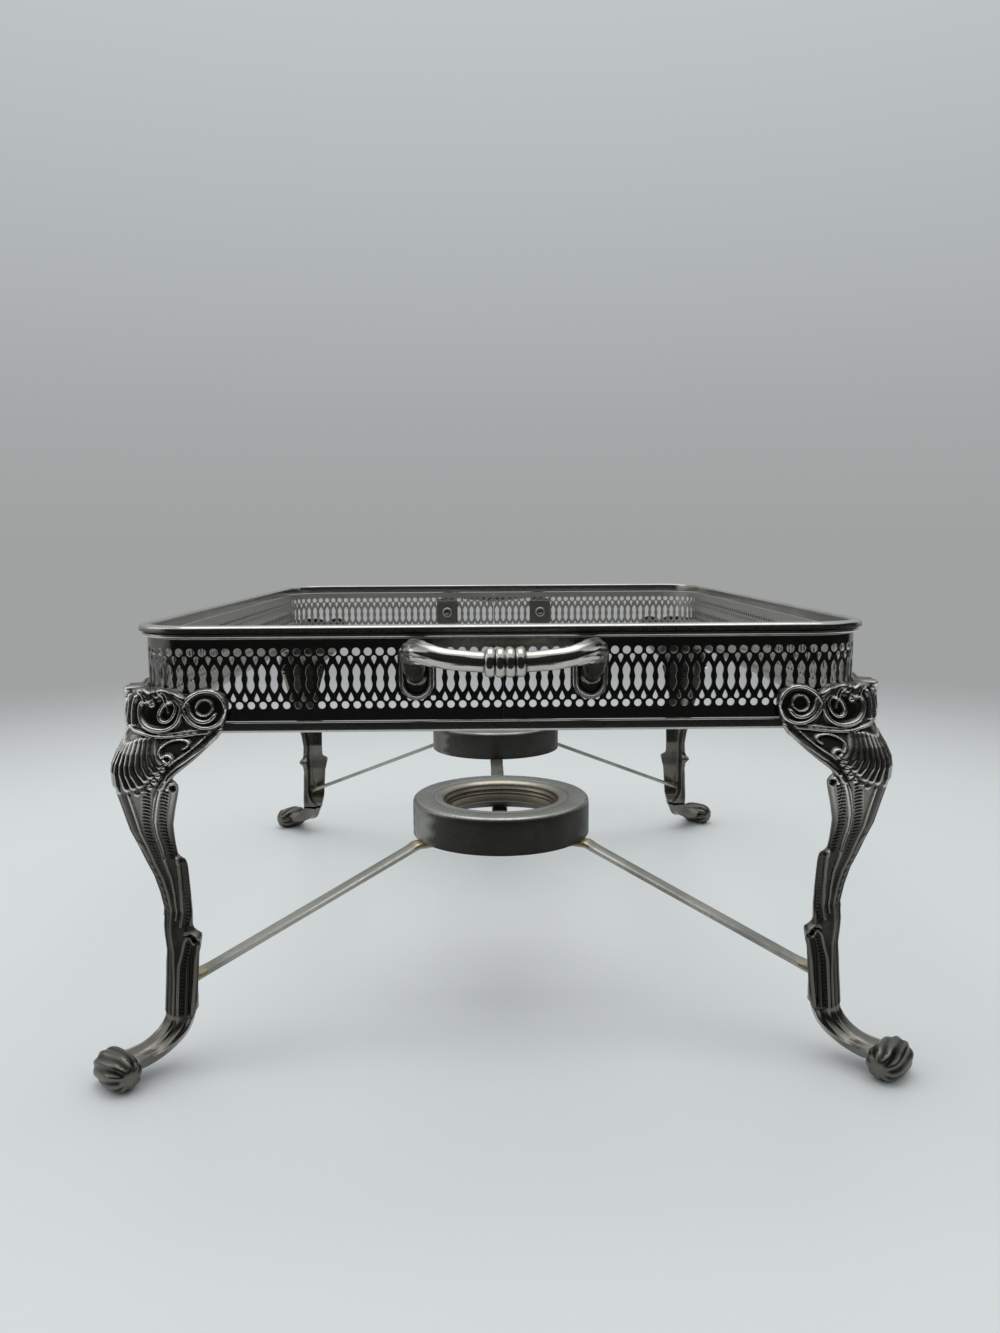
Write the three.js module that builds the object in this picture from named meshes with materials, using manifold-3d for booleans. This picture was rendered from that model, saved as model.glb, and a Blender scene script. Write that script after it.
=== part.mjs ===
// Silver-plated stand for a rectangular dish over two burners.
// A pierced gallery with an upper and a lower rim rides on four cast cabriole legs.
// Straps soldered to the legs carry two burner rings, and each short end has a fixed handle.
// X runs across the stand, Y along it and Z up. The origin is on the table under the centre.

import * as THREE from "three";
import { mergeVertices } from "three/addons/utils/BufferGeometryUtils.js";
import Module from "manifold-3d";

const wasm = await Module();
wasm.setup();

// Clearances
const SOLDER_GAP = 0.3;
const STUD_CLEARANCE = 0.35;

// Gallery, measured on its outer face
const GALLERY_WIDTH = 267.5;
const GALLERY_LENGTH = 321;
const CORNER_RADIUS = 22;
const WALL = 0.9;
const GALLERY_HEIGHT = 29.8;

// Piercing of the gallery: one tall pointed opening in each column
const PIERCING_PITCH = 4.26;
const OPENING_WIDTH = 2.7;
const OPENING_HEIGHT = 14;
const OPENING_SHOULDER = 4;
const OPENING_CENTRE = 15.4;

// Rims: how far each stands out from the gallery's face, and how tall it is
const LOWER_RIM_HEIGHT = 3.8;
const LOWER_RIM_PROUD = 1.9;
const UPPER_RIM_HEIGHT = 4.8;
const UPPER_RIM_PROUD = 2.9;
const SMALL_BEAD_HEIGHT = 1.4;
const SMALL_BEAD_PROUD = 1.8;
const GROOVE_PROUD = 0.9;
const RIM_LAND = 1.5;

// Turning points of the large bead, as shares of its height
const GROOVE_SHARE = 0.15;
const BEAD_FULL_FROM = 0.3;
const BEAD_FULL_TO = 0.75;

// Legs, up to the underside of the lower rim
const LEG_HEIGHT = 130.3;
const KNEE_RISE = 17.5;
const SHELL_WALL = 2.6;
const LEDGE_DEPTH = 3;
const VOLUTE_WIDTH = 17;
const VOLUTE_HEIGHT = 13.6;
const VOLUTE_RELIEF = 1.6;
const VOLUTE_SETBACK = 4.3;

// Scroll feet, measured out along the corner's diagonal
const FOOT_REACH = 44.5;
const FOOT_RADIUS = 6.8;
const FOOT_WIDTH = 20.8;
const FOOT_FLAT_DEPTH = 0.4;

// Half of the foot's roll from its middle to its end, as [share of half its width, share of its
// radius]
const FOOT_BELLY = [[0, 1], [0.4, 0.97], [0.7, 0.84], [0.9, 0.62], [1, 0.3]];

// Neck from the ankle to the foot's roll. The lists hold [distance, height] points: the sides are
// measured out from the ankle, the underside and the top from the middle of the roll.
const NECK_WIDTH = 13;
const ANKLE_PROUD = 1;
const NECK_INNER_SIDE = [[-9, 24], [-6, 14.5], [1, 10]];
const NECK_UNDERSIDE = [[-14.5, 8], [-5.5, 6.3]];
const NECK_TOP = [[-4, 11.3], [-9, 11.3], [-14.5, 12.8]];
const NECK_OUTER_SIDE = [[2, 17], [0, 24]];

// Burner rings
const RING_RADIUS = 38.5;
const RING_HEIGHT = 15.5;
const RING_TOP = 88;
const RING_WALL = 1.3;
const RING_EDGE = 1.3;
const RING_HOLE_RADIUS = 23;
const RING_LIP_RADIUS = 28;
const RING_LIP_DEPTH = 9;
const RING_ROLL_DEPTH = 3.9;
const RING_CENTRE_DISTANCE = 180;

// Straps
const STRAP_WIDTH = 7;
const STRAP_THICKNESS = 2.2;
const STRAP_TAB = 5;
const STRAP_STUB = 7;
const STRAP_LEG_HEIGHT = 31;

// Handles
const HANDLE_STANDOFF = 28;
const STUD_SPACING = 62.8;
const STUD_DROP = 13.2;
const STUD_RADIUS = 1.6;
const BAR_RADIUS = 3.6;
const BAR_RISE = 7.6;
const ARM_RADIUS = 4.3;
const ARM_ROOT_RADIUS = 3.2;
const COLLAR_RADIUS = 3.8;
const COLLAR_LENGTH = 1.4;
const BEAD_RADIUS = 5.1;
const BEAD_NECK_RADIUS = 4.1;
const BEAD_WIDTH = 3.3;
const BEAD_COUNT = 4;
const BEAD_COLLAR = 0.4;
const STUD_ROOT = 2;
const STUD_TAIL = 1;

// Middle line of an arm as [sideways, distance, rise] points. The first list is measured from
// the stud's place on the shield, the second from the stud's line and the middle of the bar.
const ARM_NEAR_SHIELD = [[0, 0, 0], [0, 2.5, 0.3], [0.3, 7, 3.6], [0.3, 12.5, 8.6]];
const ARM_NEAR_BAR = [[-0.8, -8, 3], [-4.6, -4, 2.6], [-11.6, -1.5, 1.2], [-21.6, -0.3, 0.3]];

// Shares of a half handle's length: where the arm is full, and where it has thinned to the bar
const ARM_FULL_SHARE = 0.2;
const ARM_THIN_SHARE = 0.625;

// Plates and nuts that hold the handles
const SHIELD_WIDTH = 12.6;
const SHIELD_HEIGHT = 18.2;
const SHIELD_THICKNESS = 1.8;
const SHIELD_ABOVE_STUD = 9;
const BACKING_WIDTH = 14;
const BACKING_HEIGHT = 15.8;
const BACKING_THICKNESS = 1.1;
const NUT_RADIUS = 3.1;
const NUT_HEIGHT = 2.4;

// Facets
const CORNER_STEPS = 6;
const NOSE_STEPS = 6;
const RING_SEGMENTS = 28;
const FOOT_SEGMENTS = 14;
const BAR_SIDES = 10;
const ARM_STEPS = 11;
const ROUND_SEGMENTS = 12;
const SHIELD_CURVE_STEPS = 8;

// Vertices nearer than this are one vertex
const MERGE_DISTANCE = 1e-4;

// Sizes that follow from the ones above
const CORNER_X = GALLERY_WIDTH / 2 - CORNER_RADIUS;
const CORNER_Y = GALLERY_LENGTH / 2 - CORNER_RADIUS;
const GALLERY_BOTTOM = LEG_HEIGHT + LOWER_RIM_HEIGHT + SOLDER_GAP;
const GALLERY_TOP = GALLERY_BOTTOM + GALLERY_HEIGHT;
const UPPER_RIM_BOTTOM = GALLERY_TOP + SOLDER_GAP;
const UPPER_RIM_TOP = UPPER_RIM_BOTTOM + UPPER_RIM_HEIGHT;
const STUD_HEIGHT = GALLERY_TOP - STUD_DROP;
const RING_BOTTOM = RING_TOP - RING_HEIGHT;
const END_FACE = GALLERY_LENGTH / 2;

// Leg stations from the knee's top down to the ankle. "proud" is how far the leg's two faces
// stand out from the gallery, "wing" how far each face reaches back from the corner, and "nose"
// the radius between the two faces. "at" is the height as a share of the leg.
const KNEE_TOP_STATION = { proud: 3.8, wing: 36, nose: 13 };
const KNEE_STATION = { proud: 4.5, wing: 37, nose: 12 };
const STRAP_STATION = { at: 0.24, proud: -4.3, wing: 11.7, nose: 6 };
const LEG_STATIONS = [
  { at: 0.936, proud: 8.0, wing: 31, nose: 11 },
  { at: 0.886, proud: 9.1, wing: 24.5, nose: 11 },
  { at: 0.79, proud: 6.6, wing: 21.2, nose: 10 },
  { at: 0.653, proud: 1.8, wing: 14.6, nose: 8.5 },
  { at: 0.632, proud: 0.9, wing: 17.2, nose: 8 },
  { at: 0.576, proud: -1.9, wing: 14, nose: 7 },
  { at: 0.422, proud: -4.6, wing: 10.6, nose: 6 },
  { at: 0.394, proud: -3.9, wing: 14.4, nose: 6 },
  { at: 0.35, proud: -4.7, wing: 12.9, nose: 6 },
  STRAP_STATION,
  { at: 0.155, proud: -3.6, wing: 10.6, nose: 6 },
  { at: 0.1, proud: -3, wing: 8.4, nose: 6 },
];

const materials = {
  silver: { color: 0x8f8c86, roughness: 0.28, metalness: 1 },
  cast_silver: { color: 0x77736b, roughness: 0.38, metalness: 1 },
  worn_silver: { color: 0x6f6b63, roughness: 0.45, metalness: 1 },
  strap: { color: 0x7d7a70, roughness: 0.5, metalness: 1 },
  nut: { color: 0x5a564f, roughness: 0.55, metalness: 1 },
};

const stand = new THREE.Group();

// Turns a list of points and triangles into a closed geometry whose faces point out.
function closedGeometry(points, triangles) {
  let volume = 0;
  for (const [a, b, c] of triangles) {
    volume += points[a].dot(new THREE.Vector3().crossVectors(points[b], points[c]));
  }
  const facing = volume > 0 ? triangles : triangles.map(([a, b, c]) => [a, c, b]);
  const geometry = new THREE.BufferGeometry();
  geometry.setAttribute(
    "position",
    new THREE.Float32BufferAttribute(points.flatMap((p) => [p.x, p.y, p.z]), 3),
  );
  geometry.setIndex(facing.flat());
  return mergeVertices(geometry, MERGE_DISTANCE);
}

function solidOf(geometry) {
  const bare = geometry.clone();
  bare.deleteAttribute("normal");
  bare.deleteAttribute("uv");
  const merged = mergeVertices(bare, MERGE_DISTANCE);
  return new wasm.Manifold(
    new wasm.Mesh({
      numProp: 3,
      vertProperties: new Float32Array(merged.attributes.position.array),
      triVerts: new Uint32Array(merged.index.array),
    }),
  );
}

function geometryOf(solid) {
  const mesh = solid.getMesh();
  const geometry = new THREE.BufferGeometry();
  geometry.setAttribute("position", new THREE.Float32BufferAttribute(mesh.vertProperties, 3));
  geometry.setIndex(Array.from(mesh.triVerts));
  return geometry;
}

function place(name, geometry, material, position = [0, 0, 0], turn = 0) {
  const mesh = new THREE.Mesh(geometry, new THREE.MeshStandardMaterial(materials[material]));
  mesh.name = name;
  mesh.position.set(...position);
  mesh.rotation.z = turn;
  stand.add(mesh);
}

// A row of section loops joined into a tube, closed on itself or capped at its two ends.
function tubeGeometry(rows, closed) {
  const points = rows.flat();
  const sides = rows[0].length;
  const triangles = [];
  const joins = closed ? rows.length : rows.length - 1;
  for (let i = 0; i < joins; i += 1) {
    const here = i * sides;
    const next = ((i + 1) % rows.length) * sides;
    for (let j = 0; j < sides; j += 1) {
      const k = (j + 1) % sides;
      triangles.push([here + j, next + j, next + k], [here + j, next + k, here + k]);
    }
  }
  if (!closed) {
    const last = (rows.length - 1) * sides;
    for (let j = 1; j < sides - 1; j += 1) {
      triangles.push([0, j, j + 1], [last, last + j + 1, last + j]);
    }
  }
  return closedGeometry(points, triangles);
}

function cylinder(radius, length, segments = ROUND_SEGMENTS) {
  return new THREE.CylinderGeometry(radius, radius, length, segments);
}

// A cylinder that lies along Y from one Y to another.
function cylinderAlongY(radius, x, z, fromY, toY) {
  const geometry = cylinder(radius, Math.abs(toY - fromY));
  return geometry.translate(x, (fromY + toY) / 2, z);
}

// Gallery

// Point on the gallery's outer face of the right half, moved out by an offset. The distance runs
// from the middle of the front end, round the right side, to the middle of the rear end.
const ARC_LENGTH = (Math.PI / 2) * CORNER_RADIUS;
const HALF_PATH = 2 * CORNER_X + 2 * CORNER_Y + 2 * ARC_LENGTH;

function galleryPoint(distance, offset, z) {
  let rest = distance;
  if (rest <= CORNER_X) {
    return new THREE.Vector3(rest, -END_FACE - offset, z);
  }
  rest -= CORNER_X;
  if (rest <= ARC_LENGTH) {
    const angle = rest / CORNER_RADIUS - Math.PI / 2;
    return cornerPoint(1, -1, angle, offset, z);
  }
  rest -= ARC_LENGTH;
  if (rest <= 2 * CORNER_Y) {
    return new THREE.Vector3(GALLERY_WIDTH / 2 + offset, rest - CORNER_Y, z);
  }
  rest -= 2 * CORNER_Y;
  if (rest <= ARC_LENGTH) {
    return cornerPoint(1, 1, rest / CORNER_RADIUS, offset, z);
  }
  rest -= ARC_LENGTH;
  return new THREE.Vector3(CORNER_X - rest, END_FACE + offset, z);
}

function cornerPoint(sideX, sideY, angle, offset, z) {
  const radius = CORNER_RADIUS + offset;
  const x = sideX * CORNER_X + radius * Math.cos(angle);
  const y = sideY * CORNER_Y + radius * Math.sin(angle);
  return new THREE.Vector3(x, y, z);
}

// The band is a row of equal columns. Each column is a rectangle with one pointed opening,
// triangulated once and then bent round the stand.
function galleryHalfGeometry() {
  const columns = Math.round(HALF_PATH / PIERCING_PITCH);
  const pitch = (HALF_PATH - SOLDER_GAP) / columns;
  const half = pitch / 2;
  const frame = [
    new THREE.Vector2(-half, 0),
    new THREE.Vector2(half, 0),
    new THREE.Vector2(half, GALLERY_HEIGHT),
    new THREE.Vector2(-half, GALLERY_HEIGHT),
  ];
  const side = OPENING_WIDTH / 2;
  const tip = OPENING_HEIGHT / 2;
  const shoulder = tip - OPENING_SHOULDER;
  const opening = [
    new THREE.Vector2(0, OPENING_CENTRE - tip),
    new THREE.Vector2(-side, OPENING_CENTRE - shoulder),
    new THREE.Vector2(-side, OPENING_CENTRE + shoulder),
    new THREE.Vector2(0, OPENING_CENTRE + tip),
    new THREE.Vector2(side, OPENING_CENTRE + shoulder),
    new THREE.Vector2(side, OPENING_CENTRE - shoulder),
  ];
  const pierced = THREE.ShapeUtils.triangulateShape(frame, [opening]);
  const plain = THREE.ShapeUtils.triangulateShape(frame, []);
  const points = [];
  const triangles = [];
  for (let column = 0; column < columns; column += 1) {
    const middle = SOLDER_GAP / 2 + (column + 0.5) * pitch;
    const covered = isBehindPlate(middle);
    const outline = covered ? frame : [...frame, ...opening];
    const start = points.length;
    for (const offset of [0, -WALL]) {
      for (const p of outline) {
        points.push(galleryPoint(middle + p.x, offset, GALLERY_BOTTOM + p.y));
      }
    }
    const back = start + outline.length;
    for (const [a, b, c] of covered ? plain : pierced) {
      triangles.push([start + a, start + b, start + c], [back + a, back + c, back + b]);
    }
    const edges = [[1, 0], [3, 2]];
    if (column === 0) edges.push([0, 3]);
    if (column === columns - 1) edges.push([2, 1]);
    if (!covered) {
      for (let j = 0; j < opening.length; j += 1) {
        edges.push([4 + ((j + 1) % opening.length), 4 + j]);
      }
    }
    for (const [a, b] of edges) {
      triangles.push([start + a, start + b, back + b], [start + a, back + b, back + a]);
    }
  }
  let band = solidOf(closedGeometry(points, triangles));
  for (const end of [-1, 1]) {
    const hole = cylinderAlongY(
      STUD_RADIUS + STUD_CLEARANCE,
      STUD_SPACING / 2,
      STUD_HEIGHT,
      end * (END_FACE - 2 * WALL),
      end * (END_FACE + WALL),
    );
    band = band.subtract(solidOf(hole));
  }
  return geometryOf(band);
}

function isBehindPlate(distance) {
  const reach = SHIELD_WIDTH / 2;
  const fromFront = Math.abs(distance - STUD_SPACING / 2);
  const fromRear = Math.abs(HALF_PATH - distance - STUD_SPACING / 2);
  return fromFront < reach || fromRear < reach;
}

place("gallery_right", galleryHalfGeometry(), "silver");
place("gallery_left", galleryHalfGeometry(), "silver", [0, 0, 0], Math.PI);

// Rims

// Sweeps a profile of [offset, height] points round the whole stand.
function rimGeometry(profile) {
  const rows = [];
  const corners = [[1, -1, -90], [1, 1, 0], [-1, 1, 90], [-1, -1, 180]];
  for (const [sideX, sideY, startDegrees] of corners) {
    for (let step = 0; step <= CORNER_STEPS; step += 1) {
      const angle = THREE.MathUtils.degToRad(startDegrees + (90 * step) / CORNER_STEPS);
      rows.push(profile.map(([offset, z]) => cornerPoint(sideX, sideY, angle, offset, z)));
    }
  }
  return tubeGeometry(rows, true);
}

function upperRimProfile() {
  const beadHeight = UPPER_RIM_HEIGHT - SMALL_BEAD_HEIGHT;
  const beadBottom = UPPER_RIM_BOTTOM + SMALL_BEAD_HEIGHT;
  return [
    [-WALL, UPPER_RIM_BOTTOM],
    [SMALL_BEAD_PROUD, UPPER_RIM_BOTTOM],
    [SMALL_BEAD_PROUD, beadBottom],
    [GROOVE_PROUD, beadBottom + beadHeight * GROOVE_SHARE],
    [UPPER_RIM_PROUD, beadBottom + beadHeight * BEAD_FULL_FROM],
    [UPPER_RIM_PROUD, beadBottom + beadHeight * BEAD_FULL_TO],
    [RIM_LAND, UPPER_RIM_TOP],
    [-WALL, UPPER_RIM_TOP],
  ];
}

function lowerRimProfile() {
  const chamfer = LOWER_RIM_HEIGHT / 4;
  const top = LEG_HEIGHT + LOWER_RIM_HEIGHT;
  return [
    [-WALL, LEG_HEIGHT],
    [LOWER_RIM_PROUD / 2, LEG_HEIGHT],
    [LOWER_RIM_PROUD, LEG_HEIGHT + chamfer],
    [LOWER_RIM_PROUD, top - chamfer],
    [LOWER_RIM_PROUD / 2, top],
    [-WALL, top],
  ];
}

place("upper_rim", rimGeometry(upperRimProfile()), "silver");
place("lower_rim", rimGeometry(lowerRimProfile()), "silver");

// Legs

// One edge of a leg's section about the corner's centre: two straight faces and a round nose.
function legEdge(face, wingEnd, nose, z) {
  const centre = face - nose;
  const edge = [new THREE.Vector3(wingEnd, face, z)];
  for (let step = 0; step <= NOSE_STEPS; step += 1) {
    const angle = (Math.PI / 2) * (1 - step / NOSE_STEPS);
    edge.push(
      new THREE.Vector3(centre + nose * Math.cos(angle), centre + nose * Math.sin(angle), z),
    );
  }
  edge.push(new THREE.Vector3(face, wingEnd, z));
  return edge;
}

// The leg's hollow shell. Just under the lower rim it has a ledge that carries the rim.
function legShell() {
  const stations = [
    { ...KNEE_TOP_STATION, z: LEG_HEIGHT + KNEE_RISE },
    { ...KNEE_STATION, z: LEG_HEIGHT },
    { ...KNEE_STATION, z: LEG_HEIGHT - SOLDER_GAP, ledge: true },
    ...LEG_STATIONS.map((station) => ({ ...station, z: station.at * LEG_HEIGHT })),
  ];
  const rows = stations.map(({ proud, wing, nose, z, ledge }) => {
    const face = CORNER_RADIUS + proud;
    const inner = ledge ? CORNER_RADIUS - LEDGE_DEPTH : face - SHELL_WALL;
    const innerNose = Math.max(nose - (face - inner), 1);
    const outerEdge = legEdge(face, face - wing, nose, z);
    const innerEdge = legEdge(inner, face - wing, innerNose, z);
    return [outerEdge, innerEdge];
  });
  const count = rows[0][0].length;
  const points = rows.flat(2);
  const triangles = [];
  const quad = (a, b, c, d) => triangles.push([a, b, c], [a, c, d]);
  const outer = (row, j) => row * 2 * count + j;
  const inner = (row, j) => (row * 2 + 1) * count + j;
  for (let row = 0; row < rows.length - 1; row += 1) {
    for (let j = 0; j < count - 1; j += 1) {
      quad(outer(row, j), outer(row + 1, j), outer(row + 1, j + 1), outer(row, j + 1));
      quad(inner(row, j + 1), inner(row + 1, j + 1), inner(row + 1, j), inner(row, j));
    }
    quad(inner(row, 0), inner(row + 1, 0), outer(row + 1, 0), outer(row, 0));
    const end = count - 1;
    quad(outer(row, end), outer(row + 1, end), inner(row + 1, end), inner(row, end));
  }
  const last = rows.length - 1;
  for (let j = 0; j < count - 1; j += 1) {
    quad(outer(0, j), outer(0, j + 1), inner(0, j + 1), inner(0, j));
    quad(inner(last, j), inner(last, j + 1), outer(last, j + 1), outer(last, j));
  }
  return solidOf(closedGeometry(points, triangles));
}

// Axes of the corner's diagonal: out from the stand, and across the leg.
const OUT = new THREE.Vector3(1, 1, 0).normalize();
const ACROSS = new THREE.Vector3(1, -1, 0).normalize();
const UP = new THREE.Vector3(0, 0, 1);

// The rolled foot, with the neck that sweeps out to it from the ankle.
function footSolid() {
  const otherHalf = FOOT_BELLY.slice(1).reverse().map(([along, size]) => [-along, size]);
  const rows = [...otherHalf, ...FOOT_BELLY].map(([along, size]) => {
    const radius = size * FOOT_RADIUS;
    const loop = [];
    for (let i = 0; i < FOOT_SEGMENTS; i += 1) {
      const angle = (2 * Math.PI * i) / FOOT_SEGMENTS;
      loop.push(new THREE.Vector3()
        .addScaledVector(OUT, FOOT_REACH + radius * Math.cos(angle))
        .addScaledVector(ACROSS, (along * FOOT_WIDTH) / 2)
        .addScaledVector(UP, FOOT_RADIUS - FOOT_FLAT_DEPTH + radius * Math.sin(angle)));
    }
    return loop;
  });
  const roll = tubeGeometry(rows, false);

  const ankle = CORNER_RADIUS + ANKLE_PROUD;
  const outFrom = (start, line) => line.map(([out, z]) => new THREE.Vector2(start + out, z));
  const neckShape = new THREE.Shape([
    ...outFrom(ankle, NECK_INNER_SIDE),
    ...outFrom(FOOT_REACH, NECK_UNDERSIDE),
    ...outFrom(FOOT_REACH, NECK_TOP),
    ...outFrom(ankle, NECK_OUTER_SIDE),
  ]);
  const neck = new THREE.ExtrudeGeometry(neckShape, { depth: NECK_WIDTH, bevelEnabled: false });
  neck.translate(0, 0, -NECK_WIDTH / 2);
  neck.applyMatrix4(new THREE.Matrix4().makeBasis(OUT, UP, ACROSS));

  const table = new THREE.BoxGeometry(4 * FOOT_REACH, 4 * FOOT_REACH, 2 * FOOT_RADIUS);
  table.translate(0, 0, -FOOT_RADIUS);
  return solidOf(roll).add(solidOf(neck)).subtract(solidOf(table));
}

// The space that the stand's corner takes, out to an offset from the gallery's face.
function cornerSpace(offset, fromZ, toZ) {
  const reach = CORNER_RADIUS + offset;
  const far = -3 * CORNER_RADIUS;
  const shape = new THREE.Shape();
  shape.moveTo(far, far);
  shape.lineTo(reach, far);
  shape.lineTo(reach, 0);
  shape.absarc(0, 0, reach, 0, Math.PI / 2, false);
  shape.lineTo(far, reach);
  shape.closePath();
  const options = { depth: toZ - fromZ, bevelEnabled: false, curveSegments: CORNER_STEPS * 2 };
  return solidOf(new THREE.ExtrudeGeometry(shape, options).translate(0, 0, fromZ));
}

// An oval volute on each of the knee's two faces.
function voluteSolids() {
  const face = CORNER_RADIUS + KNEE_STATION.proud;
  const z = LEG_HEIGHT + KNEE_RISE / 2;
  const disc = cylinder(1, LEDGE_DEPTH + VOLUTE_RELIEF);
  disc.scale(VOLUTE_WIDTH / 2, 1, VOLUTE_HEIGHT / 2);
  const onEnd = disc.clone().translate(-VOLUTE_SETBACK, face - LEDGE_DEPTH / 2, z);
  const onSide = onEnd.clone().applyMatrix4(new THREE.Matrix4().makeBasis(
    new THREE.Vector3(0, -1, 0),
    new THREE.Vector3(1, 0, 0),
    UP,
  ));
  onSide.translate(0, -2 * VOLUTE_SETBACK, 0);
  return [solidOf(onEnd), solidOf(onSide)];
}

function legGeometry() {
  const rimGap = LOWER_RIM_PROUD + SOLDER_GAP;
  const rimTop = LEG_HEIGHT + LOWER_RIM_HEIGHT + SOLDER_GAP;
  let leg = legShell().add(footSolid());
  for (const volute of voluteSolids()) {
    leg = leg.add(volute);
  }
  leg = leg.subtract(cornerSpace(SOLDER_GAP, LEG_HEIGHT - SOLDER_GAP, UPPER_RIM_TOP));
  leg = leg.subtract(cornerSpace(rimGap, LEG_HEIGHT - SOLDER_GAP, rimTop));
  return geometryOf(leg);
}

const CORNERS = [
  { name: "rear_right", x: 1, y: 1, turn: 0 },
  { name: "rear_left", x: -1, y: 1, turn: Math.PI / 2 },
  { name: "front_left", x: -1, y: -1, turn: Math.PI },
  { name: "front_right", x: 1, y: -1, turn: -Math.PI / 2 },
];

for (const corner of CORNERS) {
  const position = [corner.x * CORNER_X, corner.y * CORNER_Y, 0];
  place(`leg_${corner.name}`, legGeometry(), "cast_silver", position, corner.turn);
}

// Burner rings: a thin shell, open below, whose top turns down into the hole
function ringGeometry() {
  const top = RING_HEIGHT;
  const throat = RING_HOLE_RADIUS;
  const profile = [
    [RING_RADIUS - RING_WALL, 0],
    [RING_RADIUS, 0],
    [RING_RADIUS, top - RING_EDGE],
    [RING_RADIUS - RING_EDGE, top],
    [RING_LIP_RADIUS, top],
    [throat + RING_EDGE, top - RING_EDGE],
    [throat, top - RING_ROLL_DEPTH],
    [throat, top - RING_LIP_DEPTH],
    [throat + RING_WALL, top - RING_LIP_DEPTH],
    [throat + RING_WALL, top - RING_ROLL_DEPTH],
    [RING_LIP_RADIUS, top - RING_WALL],
    [RING_RADIUS - RING_WALL, top - RING_EDGE - RING_WALL],
  ];
  const rows = [];
  for (let i = 0; i < RING_SEGMENTS; i += 1) {
    const angle = (2 * Math.PI * i) / RING_SEGMENTS;
    rows.push(profile.map(([radius, z]) => (
      new THREE.Vector3(radius * Math.cos(angle), radius * Math.sin(angle), z)
    )));
  }
  return tubeGeometry(rows, true);
}

for (const [name, side] of [["front", -1], ["rear", 1]]) {
  const position = [0, (side * RING_CENTRE_DISTANCE) / 2, RING_BOTTOM];
  place(`burner_ring_${name}`, ringGeometry(), "worn_silver", position);
}

// Straps

// A flat bar from a side profile of [distance, height] points along its middle.
function strapGeometry(line) {
  const halfThick = STRAP_THICKNESS / 2;
  const shape = new THREE.Shape();
  line.forEach(([along, z], i) => {
    if (i === 0) shape.moveTo(along, z - halfThick);
    else shape.lineTo(along, z - halfThick);
  });
  for (const [along, z] of [...line].reverse()) {
    shape.lineTo(along, z + halfThick);
  }
  shape.closePath();
  const strap = new THREE.ExtrudeGeometry(shape, { depth: STRAP_WIDTH, bevelEnabled: false });
  strap.translate(0, 0, -STRAP_WIDTH / 2);
  strap.rotateX(Math.PI / 2);
  return strap;
}

const STRAP_HEIGHT_AT_RING = RING_BOTTOM - SOLDER_GAP - STRAP_THICKNESS / 2;

const centreReach = RING_CENTRE_DISTANCE / 2 - RING_RADIUS + STRAP_STUB;
const centreLine = [
  [-centreReach, STRAP_HEIGHT_AT_RING],
  [centreReach, STRAP_HEIGHT_AT_RING],
];
place("strap_centre", strapGeometry(centreLine), "strap", [0, 0, 0], Math.PI / 2);

// A diagonal strap starts with a tab under the ring and ends inside the leg's hollow shell.
const LEG_INNER_FACE = CORNER_RADIUS + STRAP_STATION.proud - SHELL_WALL;
const STRAP_SEAT = LEG_INNER_FACE - SOLDER_GAP - STRAP_WIDTH / 2;

for (const corner of CORNERS) {
  const ringY = (corner.y * RING_CENTRE_DISTANCE) / 2;
  const runX = corner.x * (CORNER_X + STRAP_SEAT);
  const runY = corner.y * (CORNER_Y + STRAP_SEAT) - ringY;
  const run = Math.hypot(runX, runY);
  const line = [
    [RING_RADIUS - STRAP_TAB, STRAP_HEIGHT_AT_RING],
    [RING_RADIUS + STRAP_THICKNESS, STRAP_HEIGHT_AT_RING],
    [run, STRAP_LEG_HEIGHT],
  ];
  const turn = Math.atan2(runY, runX);
  place(`strap_${corner.name}`, strapGeometry(line), "strap", [0, ringY, 0], turn);
}

// Handles

// Middle line of half a handle, from the shield plate to the middle of the bar. The rear handle
// is built and the front one is the same piece turned round.
const SHIELD_FACE = END_FACE + SOLDER_GAP + SHIELD_THICKNESS;
const ARM_START = SHIELD_FACE + SOLDER_GAP;

function handleCurve() {
  const studX = STUD_SPACING / 2;
  const out = END_FACE + HANDLE_STANDOFF;
  const barZ = STUD_HEIGHT + BAR_RISE;
  const pointsFrom = (y, z, line) => (
    line.map(([dx, dy, dz]) => new THREE.Vector3(studX + dx, y + dy, z + dz))
  );
  const halfLine = [
    ...pointsFrom(ARM_START, STUD_HEIGHT, ARM_NEAR_SHIELD),
    ...pointsFrom(out, barZ, ARM_NEAR_BAR),
  ];
  const middle = new THREE.Vector3(0, out, barZ);
  const otherLine = [...halfLine].reverse().map((p) => new THREE.Vector3(-p.x, p.y, p.z));
  return new THREE.CatmullRomCurve3([...halfLine, middle, ...otherLine], false, "centripetal");
}

// Stations along the handle as [distance from its middle, radius] pairs for the middle beads.
function beadStations() {
  const stations = [];
  const reach = (BEAD_COUNT * BEAD_WIDTH) / 2;
  for (let bead = 0; bead < BEAD_COUNT; bead += 1) {
    const start = bead * BEAD_WIDTH - reach;
    stations.push([start, BEAD_NECK_RADIUS]);
    stations.push([start + BEAD_WIDTH / 4, BEAD_RADIUS]);
    stations.push([start + (3 * BEAD_WIDTH) / 4, BEAD_RADIUS]);
  }
  stations.push([reach, BEAD_NECK_RADIUS]);
  return stations;
}

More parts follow.
